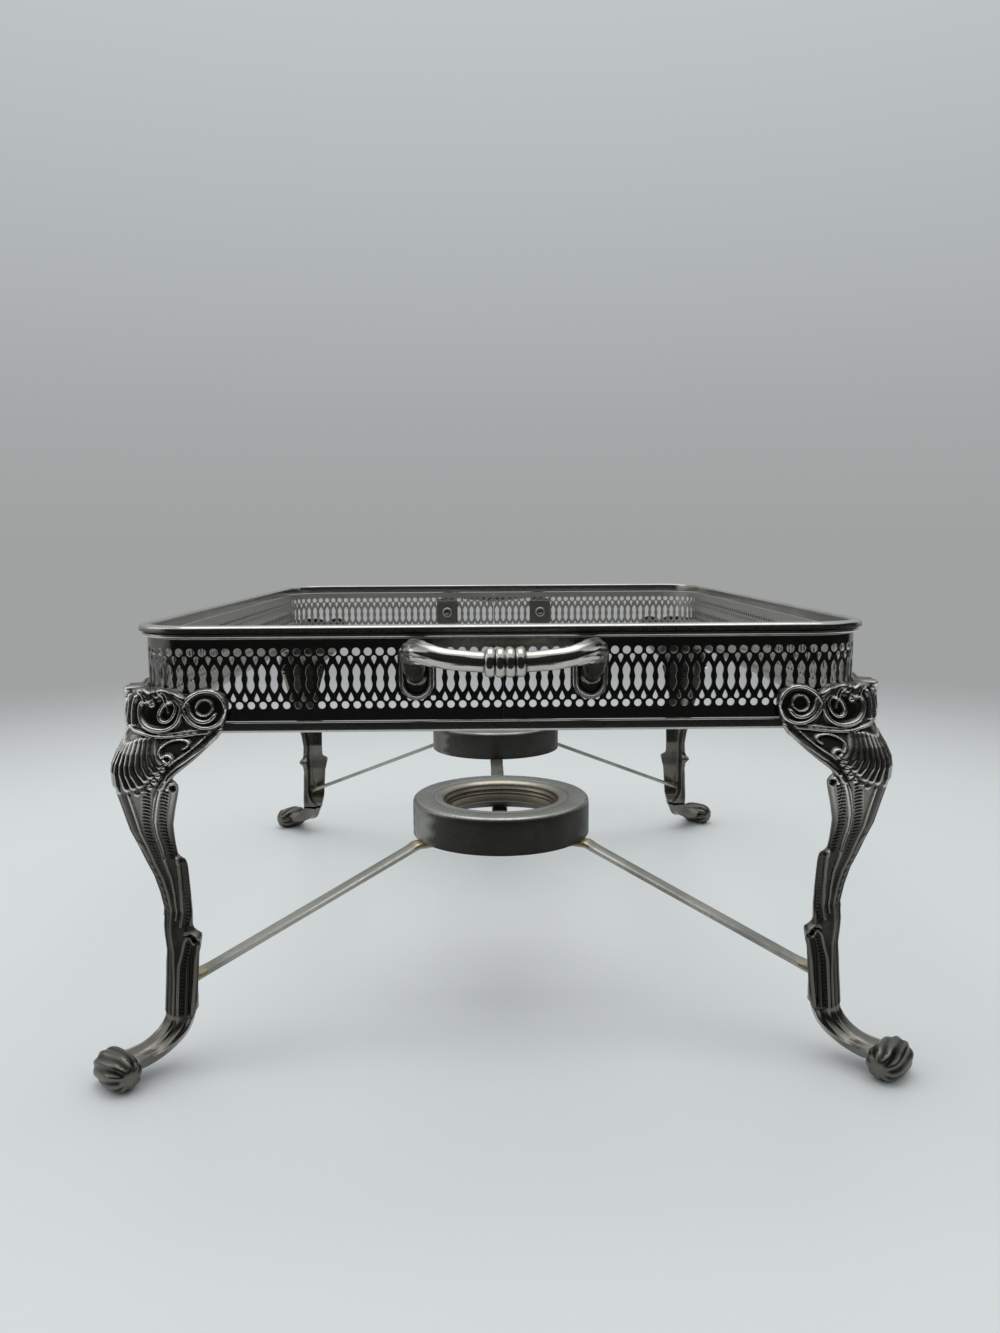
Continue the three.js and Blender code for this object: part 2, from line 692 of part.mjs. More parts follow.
function handleGeometry() {
  const curve = handleCurve();
  const length = curve.getLength();
  const beadReach = (BEAD_COUNT * BEAD_WIDTH) / 2;
  const side = [];
  for (let step = 0; step < ARM_STEPS; step += 1) {
    const share = step / ARM_STEPS;
    const thinned = Math.min(1, share / ARM_THIN_SHARE);
    const grown = Math.min(1, share / ARM_FULL_SHARE);
    const taper = THREE.MathUtils.lerp(ARM_RADIUS, BAR_RADIUS, thinned);
    const radius = THREE.MathUtils.lerp(ARM_ROOT_RADIUS, taper, grown);
    side.push([-length / 2 + share * (length / 2 - beadReach), radius]);
  }
  side.push([-beadReach - BEAD_COLLAR, BAR_RADIUS]);
  const otherSide = [...side].reverse().map(([distance, radius]) => [-distance, radius]);
  const stations = [...side, ...beadStations(), ...otherSide];
  const rows = stations.map(([distance, radius]) => {
    const share = THREE.MathUtils.clamp(distance / length + 0.5, 0, 1);
    const centre = curve.getPointAt(share);
    const along = curve.getTangentAt(share);
    if (share === 0 || share === 1) along.set(0, share === 0 ? 1 : -1, 0);
    const sideways = new THREE.Vector3().crossVectors(along, UP).normalize();
    const upwards = new THREE.Vector3().crossVectors(sideways, along).normalize();
    const loop = [];
    for (let j = 0; j < BAR_SIDES; j += 1) {
      const angle = (2 * Math.PI * j) / BAR_SIDES;
      loop.push(centre.clone()
        .addScaledVector(sideways, radius * Math.cos(angle))
        .addScaledVector(upwards, radius * Math.sin(angle)));
    }
    return loop;
  });
  let handle = solidOf(tubeGeometry(rows, false));
  const collarEnds = [ARM_START, ARM_START + COLLAR_LENGTH];
  const nutFace = END_FACE - WALL - 2 * SOLDER_GAP - BACKING_THICKNESS - NUT_HEIGHT;
  const studEnds = [nutFace - STUD_TAIL, ARM_START + STUD_ROOT];
  for (const sign of [-1, 1]) {
    const x = (sign * STUD_SPACING) / 2;
    const stud = cylinderAlongY(STUD_RADIUS, x, STUD_HEIGHT, ...studEnds);
    const collar = cylinderAlongY(COLLAR_RADIUS, x, STUD_HEIGHT, ...collarEnds);
    handle = handle.add(solidOf(stud)).add(solidOf(collar));
  }
  return geometryOf(handle);
}

// The shield-shaped plate under a handle's arm.
function shieldGeometry() {
  const half = SHIELD_WIDTH / 2;
  const bottom = SHIELD_ABOVE_STUD - SHIELD_HEIGHT;
  const shape = new THREE.Shape();
  shape.moveTo(-half, SHIELD_ABOVE_STUD);
  shape.lineTo(-half, bottom + half);
  shape.absarc(0, bottom + half, half, Math.PI, 2 * Math.PI, false);
  shape.lineTo(half, SHIELD_ABOVE_STUD);
  shape.closePath();
  const options = {
    depth: SHIELD_THICKNESS,
    bevelEnabled: false,
    curveSegments: SHIELD_CURVE_STEPS,
  };
  const plate = new THREE.ExtrudeGeometry(shape, options);
  plate.rotateX(Math.PI / 2);
  plate.translate(0, SHIELD_THICKNESS, 0);
  return geometryOf(cutForStud(solidOf(plate), SHIELD_THICKNESS));
}

// Takes the stud's clearance hole out of a piece that starts at Y = 0.
function cutForStud(solid, thickness) {
  const radius = STUD_RADIUS + STUD_CLEARANCE;
  return solid.subtract(solidOf(cylinderAlongY(radius, 0, 0, -1, thickness + 1)));
}

function backingGeometry() {
  const plate = new THREE.BoxGeometry(BACKING_WIDTH, BACKING_THICKNESS, BACKING_HEIGHT);
  plate.translate(0, BACKING_THICKNESS / 2, 0);
  return geometryOf(cutForStud(solidOf(plate), BACKING_THICKNESS));
}

function nutGeometry() {
  const nut = cylinderAlongY(NUT_RADIUS, 0, 0, 0, NUT_HEIGHT);
  return geometryOf(cutForStud(solidOf(nut), NUT_HEIGHT));
}

for (const [end, turn] of [["rear", 0], ["front", Math.PI]]) {
  place(`handle_${end}`, handleGeometry(), "cast_silver", [0, 0, 0], turn);
  for (const [side, sign] of [["left", -1], ["right", 1]]) {
    const flip = end === "rear" ? 1 : -1;
    const x = (sign * STUD_SPACING) / 2;
    const shieldY = flip * (END_FACE + SOLDER_GAP);
    const backingY = flip * (END_FACE - WALL - SOLDER_GAP - BACKING_THICKNESS);
    const nutY = backingY - flip * (SOLDER_GAP + NUT_HEIGHT);
    const spot = `${end}_${side}`;
    place(`shield_${spot}`, shieldGeometry(), "cast_silver", [x, shieldY, STUD_HEIGHT], turn);
    place(`backing_${spot}`, backingGeometry(), "nut", [x, backingY, STUD_HEIGHT], turn);
    place(`nut_${spot}`, nutGeometry(), "nut", [x, nutY, STUD_HEIGHT], turn);
  }
}

export default stand;
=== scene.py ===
# Detailed look of the silver-plated stand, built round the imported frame, with its studio.
# Sizes are in millimetres until a mesh is made. X runs across, Y along the stand and Z up.

import math

import bmesh
import bpy
import numpy as np
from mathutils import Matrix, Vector, geometry


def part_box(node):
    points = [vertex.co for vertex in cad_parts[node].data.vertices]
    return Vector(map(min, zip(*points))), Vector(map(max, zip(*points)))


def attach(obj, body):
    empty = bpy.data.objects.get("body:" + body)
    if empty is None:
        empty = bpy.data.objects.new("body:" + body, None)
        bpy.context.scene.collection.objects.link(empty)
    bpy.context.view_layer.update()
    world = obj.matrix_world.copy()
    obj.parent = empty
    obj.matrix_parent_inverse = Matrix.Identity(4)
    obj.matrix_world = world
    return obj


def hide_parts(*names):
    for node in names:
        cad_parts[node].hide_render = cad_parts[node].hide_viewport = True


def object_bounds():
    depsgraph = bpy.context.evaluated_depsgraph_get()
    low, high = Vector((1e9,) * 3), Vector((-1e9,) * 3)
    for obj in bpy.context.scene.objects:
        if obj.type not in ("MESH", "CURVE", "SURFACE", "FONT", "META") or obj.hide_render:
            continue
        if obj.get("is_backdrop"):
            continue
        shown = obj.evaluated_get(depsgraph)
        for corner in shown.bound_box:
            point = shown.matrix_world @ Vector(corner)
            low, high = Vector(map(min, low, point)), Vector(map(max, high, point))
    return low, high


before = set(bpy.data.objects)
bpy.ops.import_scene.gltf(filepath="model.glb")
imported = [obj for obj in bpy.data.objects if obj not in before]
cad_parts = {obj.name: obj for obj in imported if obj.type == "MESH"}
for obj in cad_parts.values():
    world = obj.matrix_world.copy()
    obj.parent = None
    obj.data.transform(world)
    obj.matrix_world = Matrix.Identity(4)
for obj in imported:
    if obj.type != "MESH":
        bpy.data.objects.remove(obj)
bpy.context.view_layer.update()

MM = 0.001


def frame_box(node):
    """The lowest and the highest corner of a node of the frame, in millimetres."""
    return [np.round(np.array(corner) / MM, 2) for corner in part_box(node)]


# Camera, fitted to the photograph
CAMERA_PLACE = (-0.0073, -0.5192, 0.1988)
CAMERA_PITCH = 0.125
CAMERA_YAW = -0.0175
CAMERA_ROLL = 0.0055
CAMERA_LENS = 27.0

# Gap between pieces that touch on the real stand
PIECE_GAP = 0.3

# Gallery. Its corner radius and its wall can't be read from the frame's boxes.
GALLERY_LOW, GALLERY_HIGH = frame_box("gallery_right")
SIDE_FACE, END_FACE, GALLERY_TOP = GALLERY_HIGH
GALLERY_BOTTOM = GALLERY_LOW[2]
CORNER_RADIUS = 22.0
WALL = 0.8
SEAM_GAP = 2 * GALLERY_LOW[0]
CLOSED_GAP = 0.02
COLUMNS = 134
CORNER_X = SIDE_FACE - CORNER_RADIUS
CORNER_Y = END_FACE - CORNER_RADIUS
ARC_LENGTH = CORNER_RADIUS * math.pi / 2
HALF_PATH = 2 * (CORNER_X + CORNER_Y + ARC_LENGTH)

# Piercing: each circle's height and radius, and heights of the other openings
UPPER_CIRCLE = (GALLERY_BOTTOM + 25.1, 1.5)
LOWER_CIRCLE = (GALLERY_BOTTOM + 5.7, 1.38)
WAIST_HEIGHT = GALLERY_BOTTOM + 15.4
UPPER_DROP_POINT = GALLERY_BOTTOM + 20.4
LOWER_DROP_POINT = GALLERY_BOTTOM + 10.4
# Half of the tall opening from its waist to its point, as [half width, height above the waist]
WAISTED_OPENING = [(1, 0), (1.08, 0.6), (1.3, 1.4), (1.42, 2.2), (1.36, 2.9), (1.1, 3.7),
                   (0.62, 4.6), (0, 5.4)]
# Half of a drop from its point to its round end, as [half width, distance from the point]
DROP = [(0, 0), (0.45, 0.95), (0.82, 1.8), (0.97, 2.35), (0.82, 2.9), (0.45, 3.25), (0, 3.4)]

# Studs of the handles
NUT_LOW, NUT_HIGH = frame_box("nut_rear_right")
STUD_X, _, STUD_HEIGHT = (NUT_LOW + NUT_HIGH) / 2
STUD_RADIUS = 1.4
STUD_HOLE = 1.62


# Shared mesh helpers

def grid_faces(rows, columns, wrap_rows=False, wrap_columns=False, start=0):
    """Quads of a grid of vertices that is stored row by row."""
    row = np.arange(rows if wrap_rows else rows - 1)
    column = np.arange(columns if wrap_columns else columns - 1)
    row, column = np.meshgrid(row, column, indexing="ij")
    next_row = (row + 1) % rows
    next_column = (column + 1) % columns
    quads = np.stack([
        row * columns + column,
        row * columns + next_column,
        next_row * columns + next_column,
        next_row * columns + column,
    ], axis=-1)
    return (quads.reshape(-1, 4) + start).tolist()


# What a material can ask of a vertex
VALUES = ("hollow", "warm", "matt", "rubbed")


class Body:
    """Vertices in millimetres, faces and per-vertex values of one piece."""

    def __init__(self):
        self.points = []
        self.faces = []
        self.values = {key: [] for key in VALUES}

    def add(self, points, faces, **values):
        points = np.asarray(points, float).reshape(-1, 3)
        start = sum(len(p) for p in self.points)
        self.points.append(points)
        self.faces.extend([[start + i for i in face] for face in faces])
        for key in VALUES:
            value = np.asarray(values.get(key, 0.0), float).reshape(-1)
            self.values[key].append(np.broadcast_to(value, (len(points),)))

    def tube(self, rows, closed=False, **values):
        """Joins loops of points into a skin, closed on itself or capped at both ends."""
        rows = np.asarray(rows, float)
        count, sides = rows.shape[:2]
        faces = grid_faces(count, sides, wrap_rows=closed, wrap_columns=True)
        if not closed:
            faces.append(list(range(sides)))
            faces.append(list(range((count - 1) * sides, count * sides)))
        self.add(rows, faces, **values)

    def changed(self, change):
        """A copy with its points changed by a function."""
        other = Body()
        other.points = [change(p) for p in self.points]
        other.faces = self.faces
        other.values = self.values
        return other

    def turned(self, turn):
        """A copy turned about the stand's upright axis."""
        cos, sin = math.cos(turn), math.sin(turn)
        return self.changed(lambda p: p @ np.array([[cos, sin, 0], [-sin, cos, 0], [0, 0, 1]]))

    def moved(self, x=0.0, y=0.0, z=0.0):
        return self.changed(lambda p: p + np.array([x, y, z]))


def make_piece(body, material, node, sharp=35):
    """Makes the Blender object of a body, and has it stand for a node of the frame."""
    name = f"{node}_detail"
    points = np.concatenate(body.points) * MM
    mesh = bpy.data.meshes.new(name)
    mesh.from_pydata(points.tolist(), [], body.faces)
    for key, value in body.values.items():
        layer = mesh.attributes.new(key, "FLOAT", "POINT")
        layer.data.foreach_set("value", np.concatenate(value).astype(np.float32))
    work = bmesh.new()
    work.from_mesh(mesh)
    bmesh.ops.remove_doubles(work, verts=work.verts, dist=2e-6)
    bmesh.ops.dissolve_degenerate(work, edges=work.edges, dist=1e-7)
    bmesh.ops.recalc_face_normals(work, faces=work.faces)
    work.to_mesh(mesh)
    work.free()
    mesh.shade_smooth()
    mesh.set_sharp_from_angle(angle=math.radians(sharp))
    mesh.materials.append(material)
    piece = bpy.data.objects.new(name, mesh)
    bpy.context.scene.collection.objects.link(piece)
    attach(piece, "root")
    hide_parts(node)


def full_turn(steps):
    """Angles of evenly spaced points round a circle."""
    return np.linspace(0, 2 * math.pi, steps, endpoint=False)


def circles(profile, steps, x=0.0, z=0.0):
    """Circles about a line along Y, one for each [radius, distance] of a profile."""
    return [[(x + radius * math.cos(t), y, z + radius * math.sin(t)) for t in full_turn(steps)]
            for radius, y in profile]


def smooth_step(value, low, high):
    share = np.clip((value - low) / (high - low), 0, 1)
    return share * share * (3 - 2 * share)


def falling(value, low, high):
    return 1 - smooth_step(value, low, high)


def lengths_along(line):
    """How far each point of a line is from its start."""
    return np.concatenate([[0], np.cumsum(np.linalg.norm(np.diff(line, axis=0), axis=1))])


def directions(line):
    """The direction of a line at each of its points."""
    tangents = np.gradient(line, axis=0)
    return tangents / np.linalg.norm(tangents, axis=1)[:, None]


def smooth_line(points, steps):
    """A Catmull-Rom curve through a list of points."""
    points = np.asarray(points, float)
    padded = np.vstack([2 * points[0] - points[1], points, 2 * points[-1] - points[-2]])
    line = []
    for i in range(len(points) - 1):
        a, b, c, d = padded[i:i + 4]
        for t in np.arange(steps) / steps:
            line.append(0.5 * (2 * b + (c - a) * t + (2 * a - 5 * b + 4 * c - d) * t ** 2
                               + (3 * b - a - 3 * c + d) * t ** 3))
    line.append(points[-1])
    return np.array(line)


def line_distance(x, y, line):
    """Distance of every grid point from a line of points, and how far along the line it is."""
    best = np.full(x.shape, 1e9)
    share = np.zeros(x.shape)
    along = lengths_along(line)
    for i in range(len(line) - 1):
        run = line[i + 1] - line[i]
        t = ((x - line[i, 0]) * run[0] + (y - line[i, 1]) * run[1]) / max(run @ run, 1e-9)
        t = np.clip(t, 0, 1)
        gap = np.hypot(x - line[i, 0] - t * run[0], y - line[i, 1] - t * run[1])
        nearer = gap < best
        best = np.where(nearer, gap, best)
        length = along[i] + t * (along[i + 1] - along[i])
        share = np.where(nearer, length / along[-1], share)
    return best, share


def blurred(values, times):
    for _ in range(times):
        padded = np.pad(values, 1, mode="edge")
        values = (padded[1:-1, 1:-1] * 4 + padded[:-2, 1:-1] + padded[2:, 1:-1]
                  + padded[1:-1, :-2] + padded[1:-1, 2:]) / 8
    return values


# Materials

def add_node(tree, kind, output, inputs, **settings):
    """Adds a node, with each of its inputs given as a value or as the socket that feeds it."""
    made = tree.nodes.new(f"ShaderNode{kind}")
    for key, value in settings.items():
        setattr(made, key, value)
    for key, value in inputs.items():
        if isinstance(value, bpy.types.NodeSocket):
            tree.links.new(value, made.inputs[key])
        else:
            made.inputs[key].default_value = value
    return made.outputs[output]


def metal(name, base, stain, hollow, rough, bump, spots=0.3, scratch=0.0, warm=None, matt=None,
          rubbed=None):
    """Silver with stains and fine wear. Per vertex it is darkened by tarnish in its hollows and by
    painted shade, turned warm or matt, and made paler on worn ridges, which also paints a highlight
    there."""
    material = bpy.data.materials.new(name)
    material.use_nodes = True
    tree = material.node_tree
    shader = tree.nodes["Principled BSDF"]
    shader.inputs["Metallic"].default_value = 1.0
    place = add_node(tree, "TexCoord", "Object", {})

    def noise(size, detail, vector=place):
        return add_node(tree, "TexNoise", "Fac", {"Vector": vector, "Scale": 1 / (size * MM),
                                                  "Detail": detail, "Roughness": 0.6})

    def remap(source, low, high, to_low, to_high):
        return add_node(tree, "MapRange", "Result",
                        {"Value": source, "From Min": low, "From Max": high,
                         "To Min": to_low, "To Max": to_high})

    def mix(factor, first, second):
        first = (*first, 1.0) if isinstance(first, tuple) else first
        return add_node(tree, "Mix", "Result", {"Factor": factor, "A": first, "B": (*second, 1.0)},
                        data_type="RGBA")

    def attribute(key):
        return add_node(tree, "Attribute", "Fac", {}, attribute_name=key)

    def add(first, second):
        return add_node(tree, "Math", "Value", {0: first, 1: second}, operation="ADD", use_clamp=True)

    stains = noise(STAIN_SIZE, 6.0)
    grain = noise(GRAIN_SIZE, 4.0)
    colour = mix(remap(stains, 0.44, 0.72, 0.0, spots * 2), base, stain)
    colour = mix(remap(grain, 0.35, 0.75, 0.0, 0.3), colour, stain)
    # The darkest tint paints tarnish and painted shade; the pale ridge tint paints wear and a painted
    # highlight
    for key, tint in (("warm", warm), ("matt", matt), ("rubbed", rubbed), ("hollow", hollow)):
        if tint:
            colour = mix(attribute(key), colour, tint)
    tree.links.new(colour, shader.inputs["Base Color"])

    roughness = remap(stains, 0.35, 0.7, *rough)
    roughness = add(roughness, remap(grain, 0.3, 0.8, 0.0, 0.1))
    roughness = add(roughness, remap(attribute("hollow"), 0.0, 1.0, 0.0, HOLLOW_ROUGHNESS))
    if matt:
        roughness = add(roughness, remap(attribute("matt"), 0.0, 1.0, 0.0, MATT_ROUGHNESS))
    tree.links.new(roughness, shader.inputs["Roughness"])

    height = grain
    if scratch:
        stretched = add_node(tree, "Mapping", "Vector", {"Vector": place, "Scale": (0.12, 1.0, 1.0)})
        lines = noise(SCRATCH_SIZE, 3.0, stretched)
        height = add(height, remap(lines, 0.3, 0.7, 0.0, scratch))
    relief = add_node(tree, "Bump", "Normal", {"Height": height, "Strength": bump,
                                               "Distance": BUMP_DEPTH * MM})
    tree.links.new(relief, shader.inputs["Normal"])
    return material


STAIN_SIZE = 34.0
GRAIN_SIZE = 1.6
SCRATCH_SIZE = 0.5
BUMP_DEPTH = 0.12
HOLLOW_ROUGHNESS = 0.2
MATT_ROUGHNESS = 0.42

polished = metal("polished_plate", base=(0.6, 0.59, 0.56), stain=(0.34, 0.33, 0.3),
                 hollow=(0.03, 0.027, 0.023), rough=(0.1, 0.2), scratch=0.2, bump=0.05)
pierced = metal("pierced_plate", base=(0.27, 0.265, 0.25), stain=(0.14, 0.135, 0.125),
                hollow=(0.03, 0.027, 0.023), rough=(0.07, 0.17), scratch=0.3, bump=0.08,
                matt=(0.4, 0.39, 0.36))
cast = metal("cast_plate", base=(0.25, 0.24, 0.215), stain=(0.11, 0.1, 0.085),
             hollow=(0.01, 0.009, 0.007), rough=(0.14, 0.28), bump=0.28,
             rubbed=(0.86, 0.845, 0.8))
handled = metal("handle_plate", base=(0.6, 0.585, 0.54), stain=(0.3, 0.285, 0.25),
                hollow=(0.008, 0.007, 0.006), rough=(0.07, 0.15), spots=0.2, bump=0.12)
worn = metal("worn_plate", base=(0.42, 0.415, 0.385), stain=(0.17, 0.16, 0.135),
             hollow=(0.016, 0.016, 0.014), rough=(0.2, 0.34), spots=0.45, scratch=0.4,
             bump=0.3, warm=(0.4, 0.33, 0.22))
strap_metal = metal("strap_plate", base=(0.47, 0.46, 0.43), stain=(0.22, 0.21, 0.18),
                    hollow=(0.06, 0.05, 0.04), rough=(0.3, 0.46), spots=0.45, scratch=0.5,
                    bump=0.35, warm=(0.5, 0.43, 0.28))
dull = metal("dull_plate", base=(0.27, 0.25, 0.22), stain=(0.13, 0.115, 0.095),
             hollow=(0.03, 0.026, 0.02), rough=(0.36, 0.5), bump=0.5,
             rubbed=(0.62, 0.6, 0.55))


# Gallery

KNOTS = np.cumsum([0, CORNER_X, ARC_LENGTH, 2 * CORNER_Y, ARC_LENGTH, 2 * CORNER_X, ARC_LENGTH,
                   2 * CORNER_Y, ARC_LENGTH, CORNER_X])
KNOT_ANGLES = np.radians([-90, -90, 0, 0, 90, 90, 180, 180, 270, 270])
KNOT_X = np.array([0, 1, 1, 1, 1, -1, -1, -1, -1, 0]) * CORNER_X
KNOT_Y = np.array([-1, -1, -1, 1, 1, 1, 1, -1, -1, -1]) * CORNER_Y


def band_point(distance, offset, z):
    """Points on the gallery's outer face, moved out. The distance runs from the middle of the
    front end round the right side."""
    angle = np.interp(distance, KNOTS, KNOT_ANGLES)
    radius = CORNER_RADIUS + offset
    x = np.interp(distance, KNOTS, KNOT_X) + radius * np.cos(angle)
    y = np.interp(distance, KNOTS, KNOT_Y) + radius * np.sin(angle)
    return np.stack(np.broadcast_arrays(x, y, z), axis=-1)


def circle_loop(x, z, radius, sides=14):
    return [(x + radius * math.cos(t), z + radius * math.sin(t)) for t in full_turn(sides)]


def waisted_loop():
    right_top = [(w, WAIST_HEIGHT + h) for w, h in WAISTED_OPENING]
    left_top = [(-x, z) for x, z in reversed(right_top[:-1])]
    left_low = [(x, 2 * WAIST_HEIGHT - z) for x, z in reversed(left_top[:-1])]
    right_low = [(x, 2 * WAIST_HEIGHT - z) for x, z in reversed(right_top[1:])]
    return right_top + left_top + left_low + right_low


def column_shape(half, stud_at=None):
    """Outline and openings of one column. Its sides are notched by half of the drops."""
    lower = [(w, LOWER_DROP_POINT - h) for w, h in reversed(DROP)]
    upper = [(w, UPPER_DROP_POINT + h) for w, h in DROP]
    right = [(half - w, z) for w, z in lower + upper]
    left = [(-x, z) for x, z in reversed(right)]
    outline = [(-half, GALLERY_BOTTOM), (half, GALLERY_BOTTOM), *right,
               (half, GALLERY_TOP), (-half, GALLERY_TOP), *left]
    tall = waisted_loop() if stud_at is None else circle_loop(stud_at, STUD_HEIGHT, STUD_HOLE)
    holes = [circle_loop(0, *UPPER_CIRCLE), tall, circle_loop(0, *LOWER_CIRCLE)]
    return outline, holes


# Painted shade on the plain band above the handles, dimming its reflection of them: how dark it is,
# where that ends and how high it starts
HANDLE_SHADE = 0.65
HANDLE_SHADE_ENDS = (28.0, 38.0)
HANDLE_SHADE_HEIGHTS = (GALLERY_TOP - 4.2, GALLERY_TOP - 2.2)


def gallery_body(start, end):
    """Half of the band, from one distance along the path to another. Its inside is matt, and painted
    shade darkens its outer face above the handles.
    """
    pitch = (end - start) / COLUMNS
    half = pitch / 2
    body = Body()
    for column in range(COLUMNS):
        middle = start + (column + 0.5) * pitch
        stud_at = None
        for stud in (STUD_X, HALF_PATH - STUD_X):
            if abs(stud - middle) < half:
                stud_at = stud - middle
        outline, holes = column_shape(half, stud_at)
        loops = [outline, *holes]
        triangles = geometry.tessellate_polygon(
            [[Vector((x, z, 0)) for x, z in loop] for loop in loops])
        flat = np.array([p for loop in loops for p in loop])
        count = len(flat)
        front = band_point(middle + flat[:, 0], 0.0, flat[:, 1])
        back = band_point(middle + flat[:, 0], -WALL, flat[:, 1])
        faces = [list(t) for t in triangles]
        faces += [[i + count for i in t] for t in triangles]
        first = 0
        for loop in loops:
            size = len(loop)
            for i in range(size):
                a, b = first + i, first + (i + 1) % size
                at_side = loop is outline and abs(flat[a, 0]) > half - 1e-6 \
                    and abs(flat[a, 0] - flat[b, 0]) < 1e-6
                at_end = (column == 0 and flat[a, 0] < 0) \
                    or (column == COLUMNS - 1 and flat[a, 0] > 0)
                if not at_side or at_end:
                    faces.append([a, b, b + count, a + count])
            first += size
        # Painted shade on the outer face near its top, above the handles
        from_handle = np.minimum(middle, HALF_PATH - middle)
        handle_shade = HANDLE_SHADE * falling(from_handle, *HANDLE_SHADE_ENDS)
        handle_shade = handle_shade * smooth_step(flat[:, 1], *HANDLE_SHADE_HEIGHTS)
        body.add(np.concatenate([front, back]), faces, matt=np.repeat([0.0, 1.0], count),
                 hollow=np.concatenate([handle_shade, np.zeros(count)]))
    return body


# The seam shows at the rear only. The left half is turned round, so it starts at the rear.
right_gallery = gallery_body(CLOSED_GAP / 2, HALF_PATH - SEAM_GAP / 2)
left_gallery = gallery_body(SEAM_GAP / 2, HALF_PATH - CLOSED_GAP / 2).turned(math.pi)
make_piece(right_gallery, pierced, "gallery_right", 40)
make_piece(left_gallery, pierced, "gallery_left", 40)


# Rims

STEPS_ON_ARC = 20
STEPS_ON_SIDE = 12


def rim_body(rim, profile, dark):
    """A rim along the gallery, from [distance out, rise] points, darkened by painted shade as much as
    the dark list says for each point.
    """
    stations = []
    for i in range(len(KNOTS) - 1):
        curved = KNOT_ANGLES[i] != KNOT_ANGLES[i + 1]
        steps = STEPS_ON_ARC if curved else STEPS_ON_SIDE
        stations.extend(np.linspace(KNOTS[i], KNOTS[i + 1], steps, endpoint=False))
    out, rise = np.array(profile).T
    z = frame_box(rim)[0][2] + rise
    body = Body()
    body.tube([band_point(s, out, z) for s in stations], closed=True,
              hollow=np.tile(dark, len(stations)))
    return body


def ellipse_points(centre, half_width, half_height, start, end, steps):
    """Points of an ellipse's arc in a profile, angles in degrees."""
    angles = np.radians(np.linspace(start, end, steps))
    return [(centre[0] + half_width * math.cos(a), centre[1] + half_height * math.sin(a))
            for a in angles]


# The upper rim has a small bead, a groove darkened by painted shade and a large bead
SMALL_BEAD = ellipse_points((0.7, 0.9), 1.15, 0.85, -80, 62, 8)
GROOVE = [(0.85, 1.78), (0.9, 2.05), (2.65, 2.1), (2.88, 2.25)]
LARGE_BEAD = ellipse_points((0.3, 3.55), 2.6, 1.25, 0, 90, 12)
upper_profile = [(-0.9, 0.1), (0.7, 0), *SMALL_BEAD, *GROOVE, *LARGE_BEAD, (-0.4, 4.7),
                 (-0.8, 4.3), (-0.9, 3.7)]
upper_painted_shade = [0.85 if 1.7 < rise < 2.3 else 0.0 for _, rise in upper_profile]
# The lower rim has a roll below an upright face, and painted shade darkens that face and the rim's top
ROLL = ellipse_points((0.75, 1.15), 1.15, 1.15, -85, 0, 8)
ROUND_EDGE = ellipse_points((1.62, 3.45), 0.28, 0.35, 0, 80, 6)
LOWER_RIM_TOP = 3.8
lower_profile = [(-0.9, 0.05), (0.5, 0), *ROLL, *ROUND_EDGE, (1.3, LOWER_RIM_TOP),
                 (-0.9, LOWER_RIM_TOP)]
lower_painted_shade = [0.6 if rise == LOWER_RIM_TOP or 1.1 < rise < 3.5 and out > 1.85 else 0.0
              for out, rise in lower_profile]
make_piece(rim_body("upper_rim", upper_profile, upper_painted_shade), polished, "upper_rim", 50)
make_piece(rim_body("lower_rim", lower_profile, lower_painted_shade), polished, "lower_rim", 50)


# Legs. One leg is modelled about its corner's centre, with its two faces towards +X and +Y.

# Height, how far the faces stand from the corner's centre, radius of the nose between them
FACES = np.array([
    (148, 25.6, 14), (140, 26, 13), (135, 26.3, 12.5), (130.3, 26.2, 12),
    (127.5, 27.2, 11.5), (124, 28.8, 11), (120, 30.2, 11), (116.7, 30.6, 11),
    (112, 30.2, 10.5), (108, 29.4, 10), (102.9, 28.3, 10), (94, 26.2, 9),
    (88.5, 24.3, 8.5), (84.6, 23, 8), (81.5, 22.1, 8), (75, 19.8, 7),
    (68, 18.2, 6.5), (61, 17.1, 6), (57, 17.35, 6), (54.5, 17.5, 6),
    (51, 17.4, 6), (45, 17, 6), (34, 17.4, 6), (20.2, 18.2, 6),
])
# Height, how far the end of each face is from the corner's centre
WING_ENDS = np.array([
    (148, -5.5), (147.3, -8.4), (146.2, -10.6), (144.5, -12), (142.5, -12.7),
    (140.2, -12.8), (138, -12.5), (136, -11.9), (134.4, -11.2), (133.2, -10.9),
    (132, -10.8), (131, -10.2), (129, -8.6), (126, -5.4), (123, -2.4), (120, 1.2),
    (117.5, 4.4), (115.8, 6.6), (114.9, 7.3), (114.2, 6.9), (113.5, 6), (112.6, 5.4),
    (111.2, 5.3), (109, 5.8), (103, 7.4), (97, 8.8), (89, 9), (85, 8.8),
    (84, 8.3), (83.3, 7.3), (82.6, 6.4), (81, 5.9), (79, 5.9), (75, 6.1),
    (67, 6.2), (55.3, 6.2), (53.7, 5.6), (52.7, 4), (51.9, 2.9), (50.3, 3),
    (47, 3.6), (44, 4.4), (38, 4.8), (31, 5.3), (26, 5.6), (20.2, 7),
])
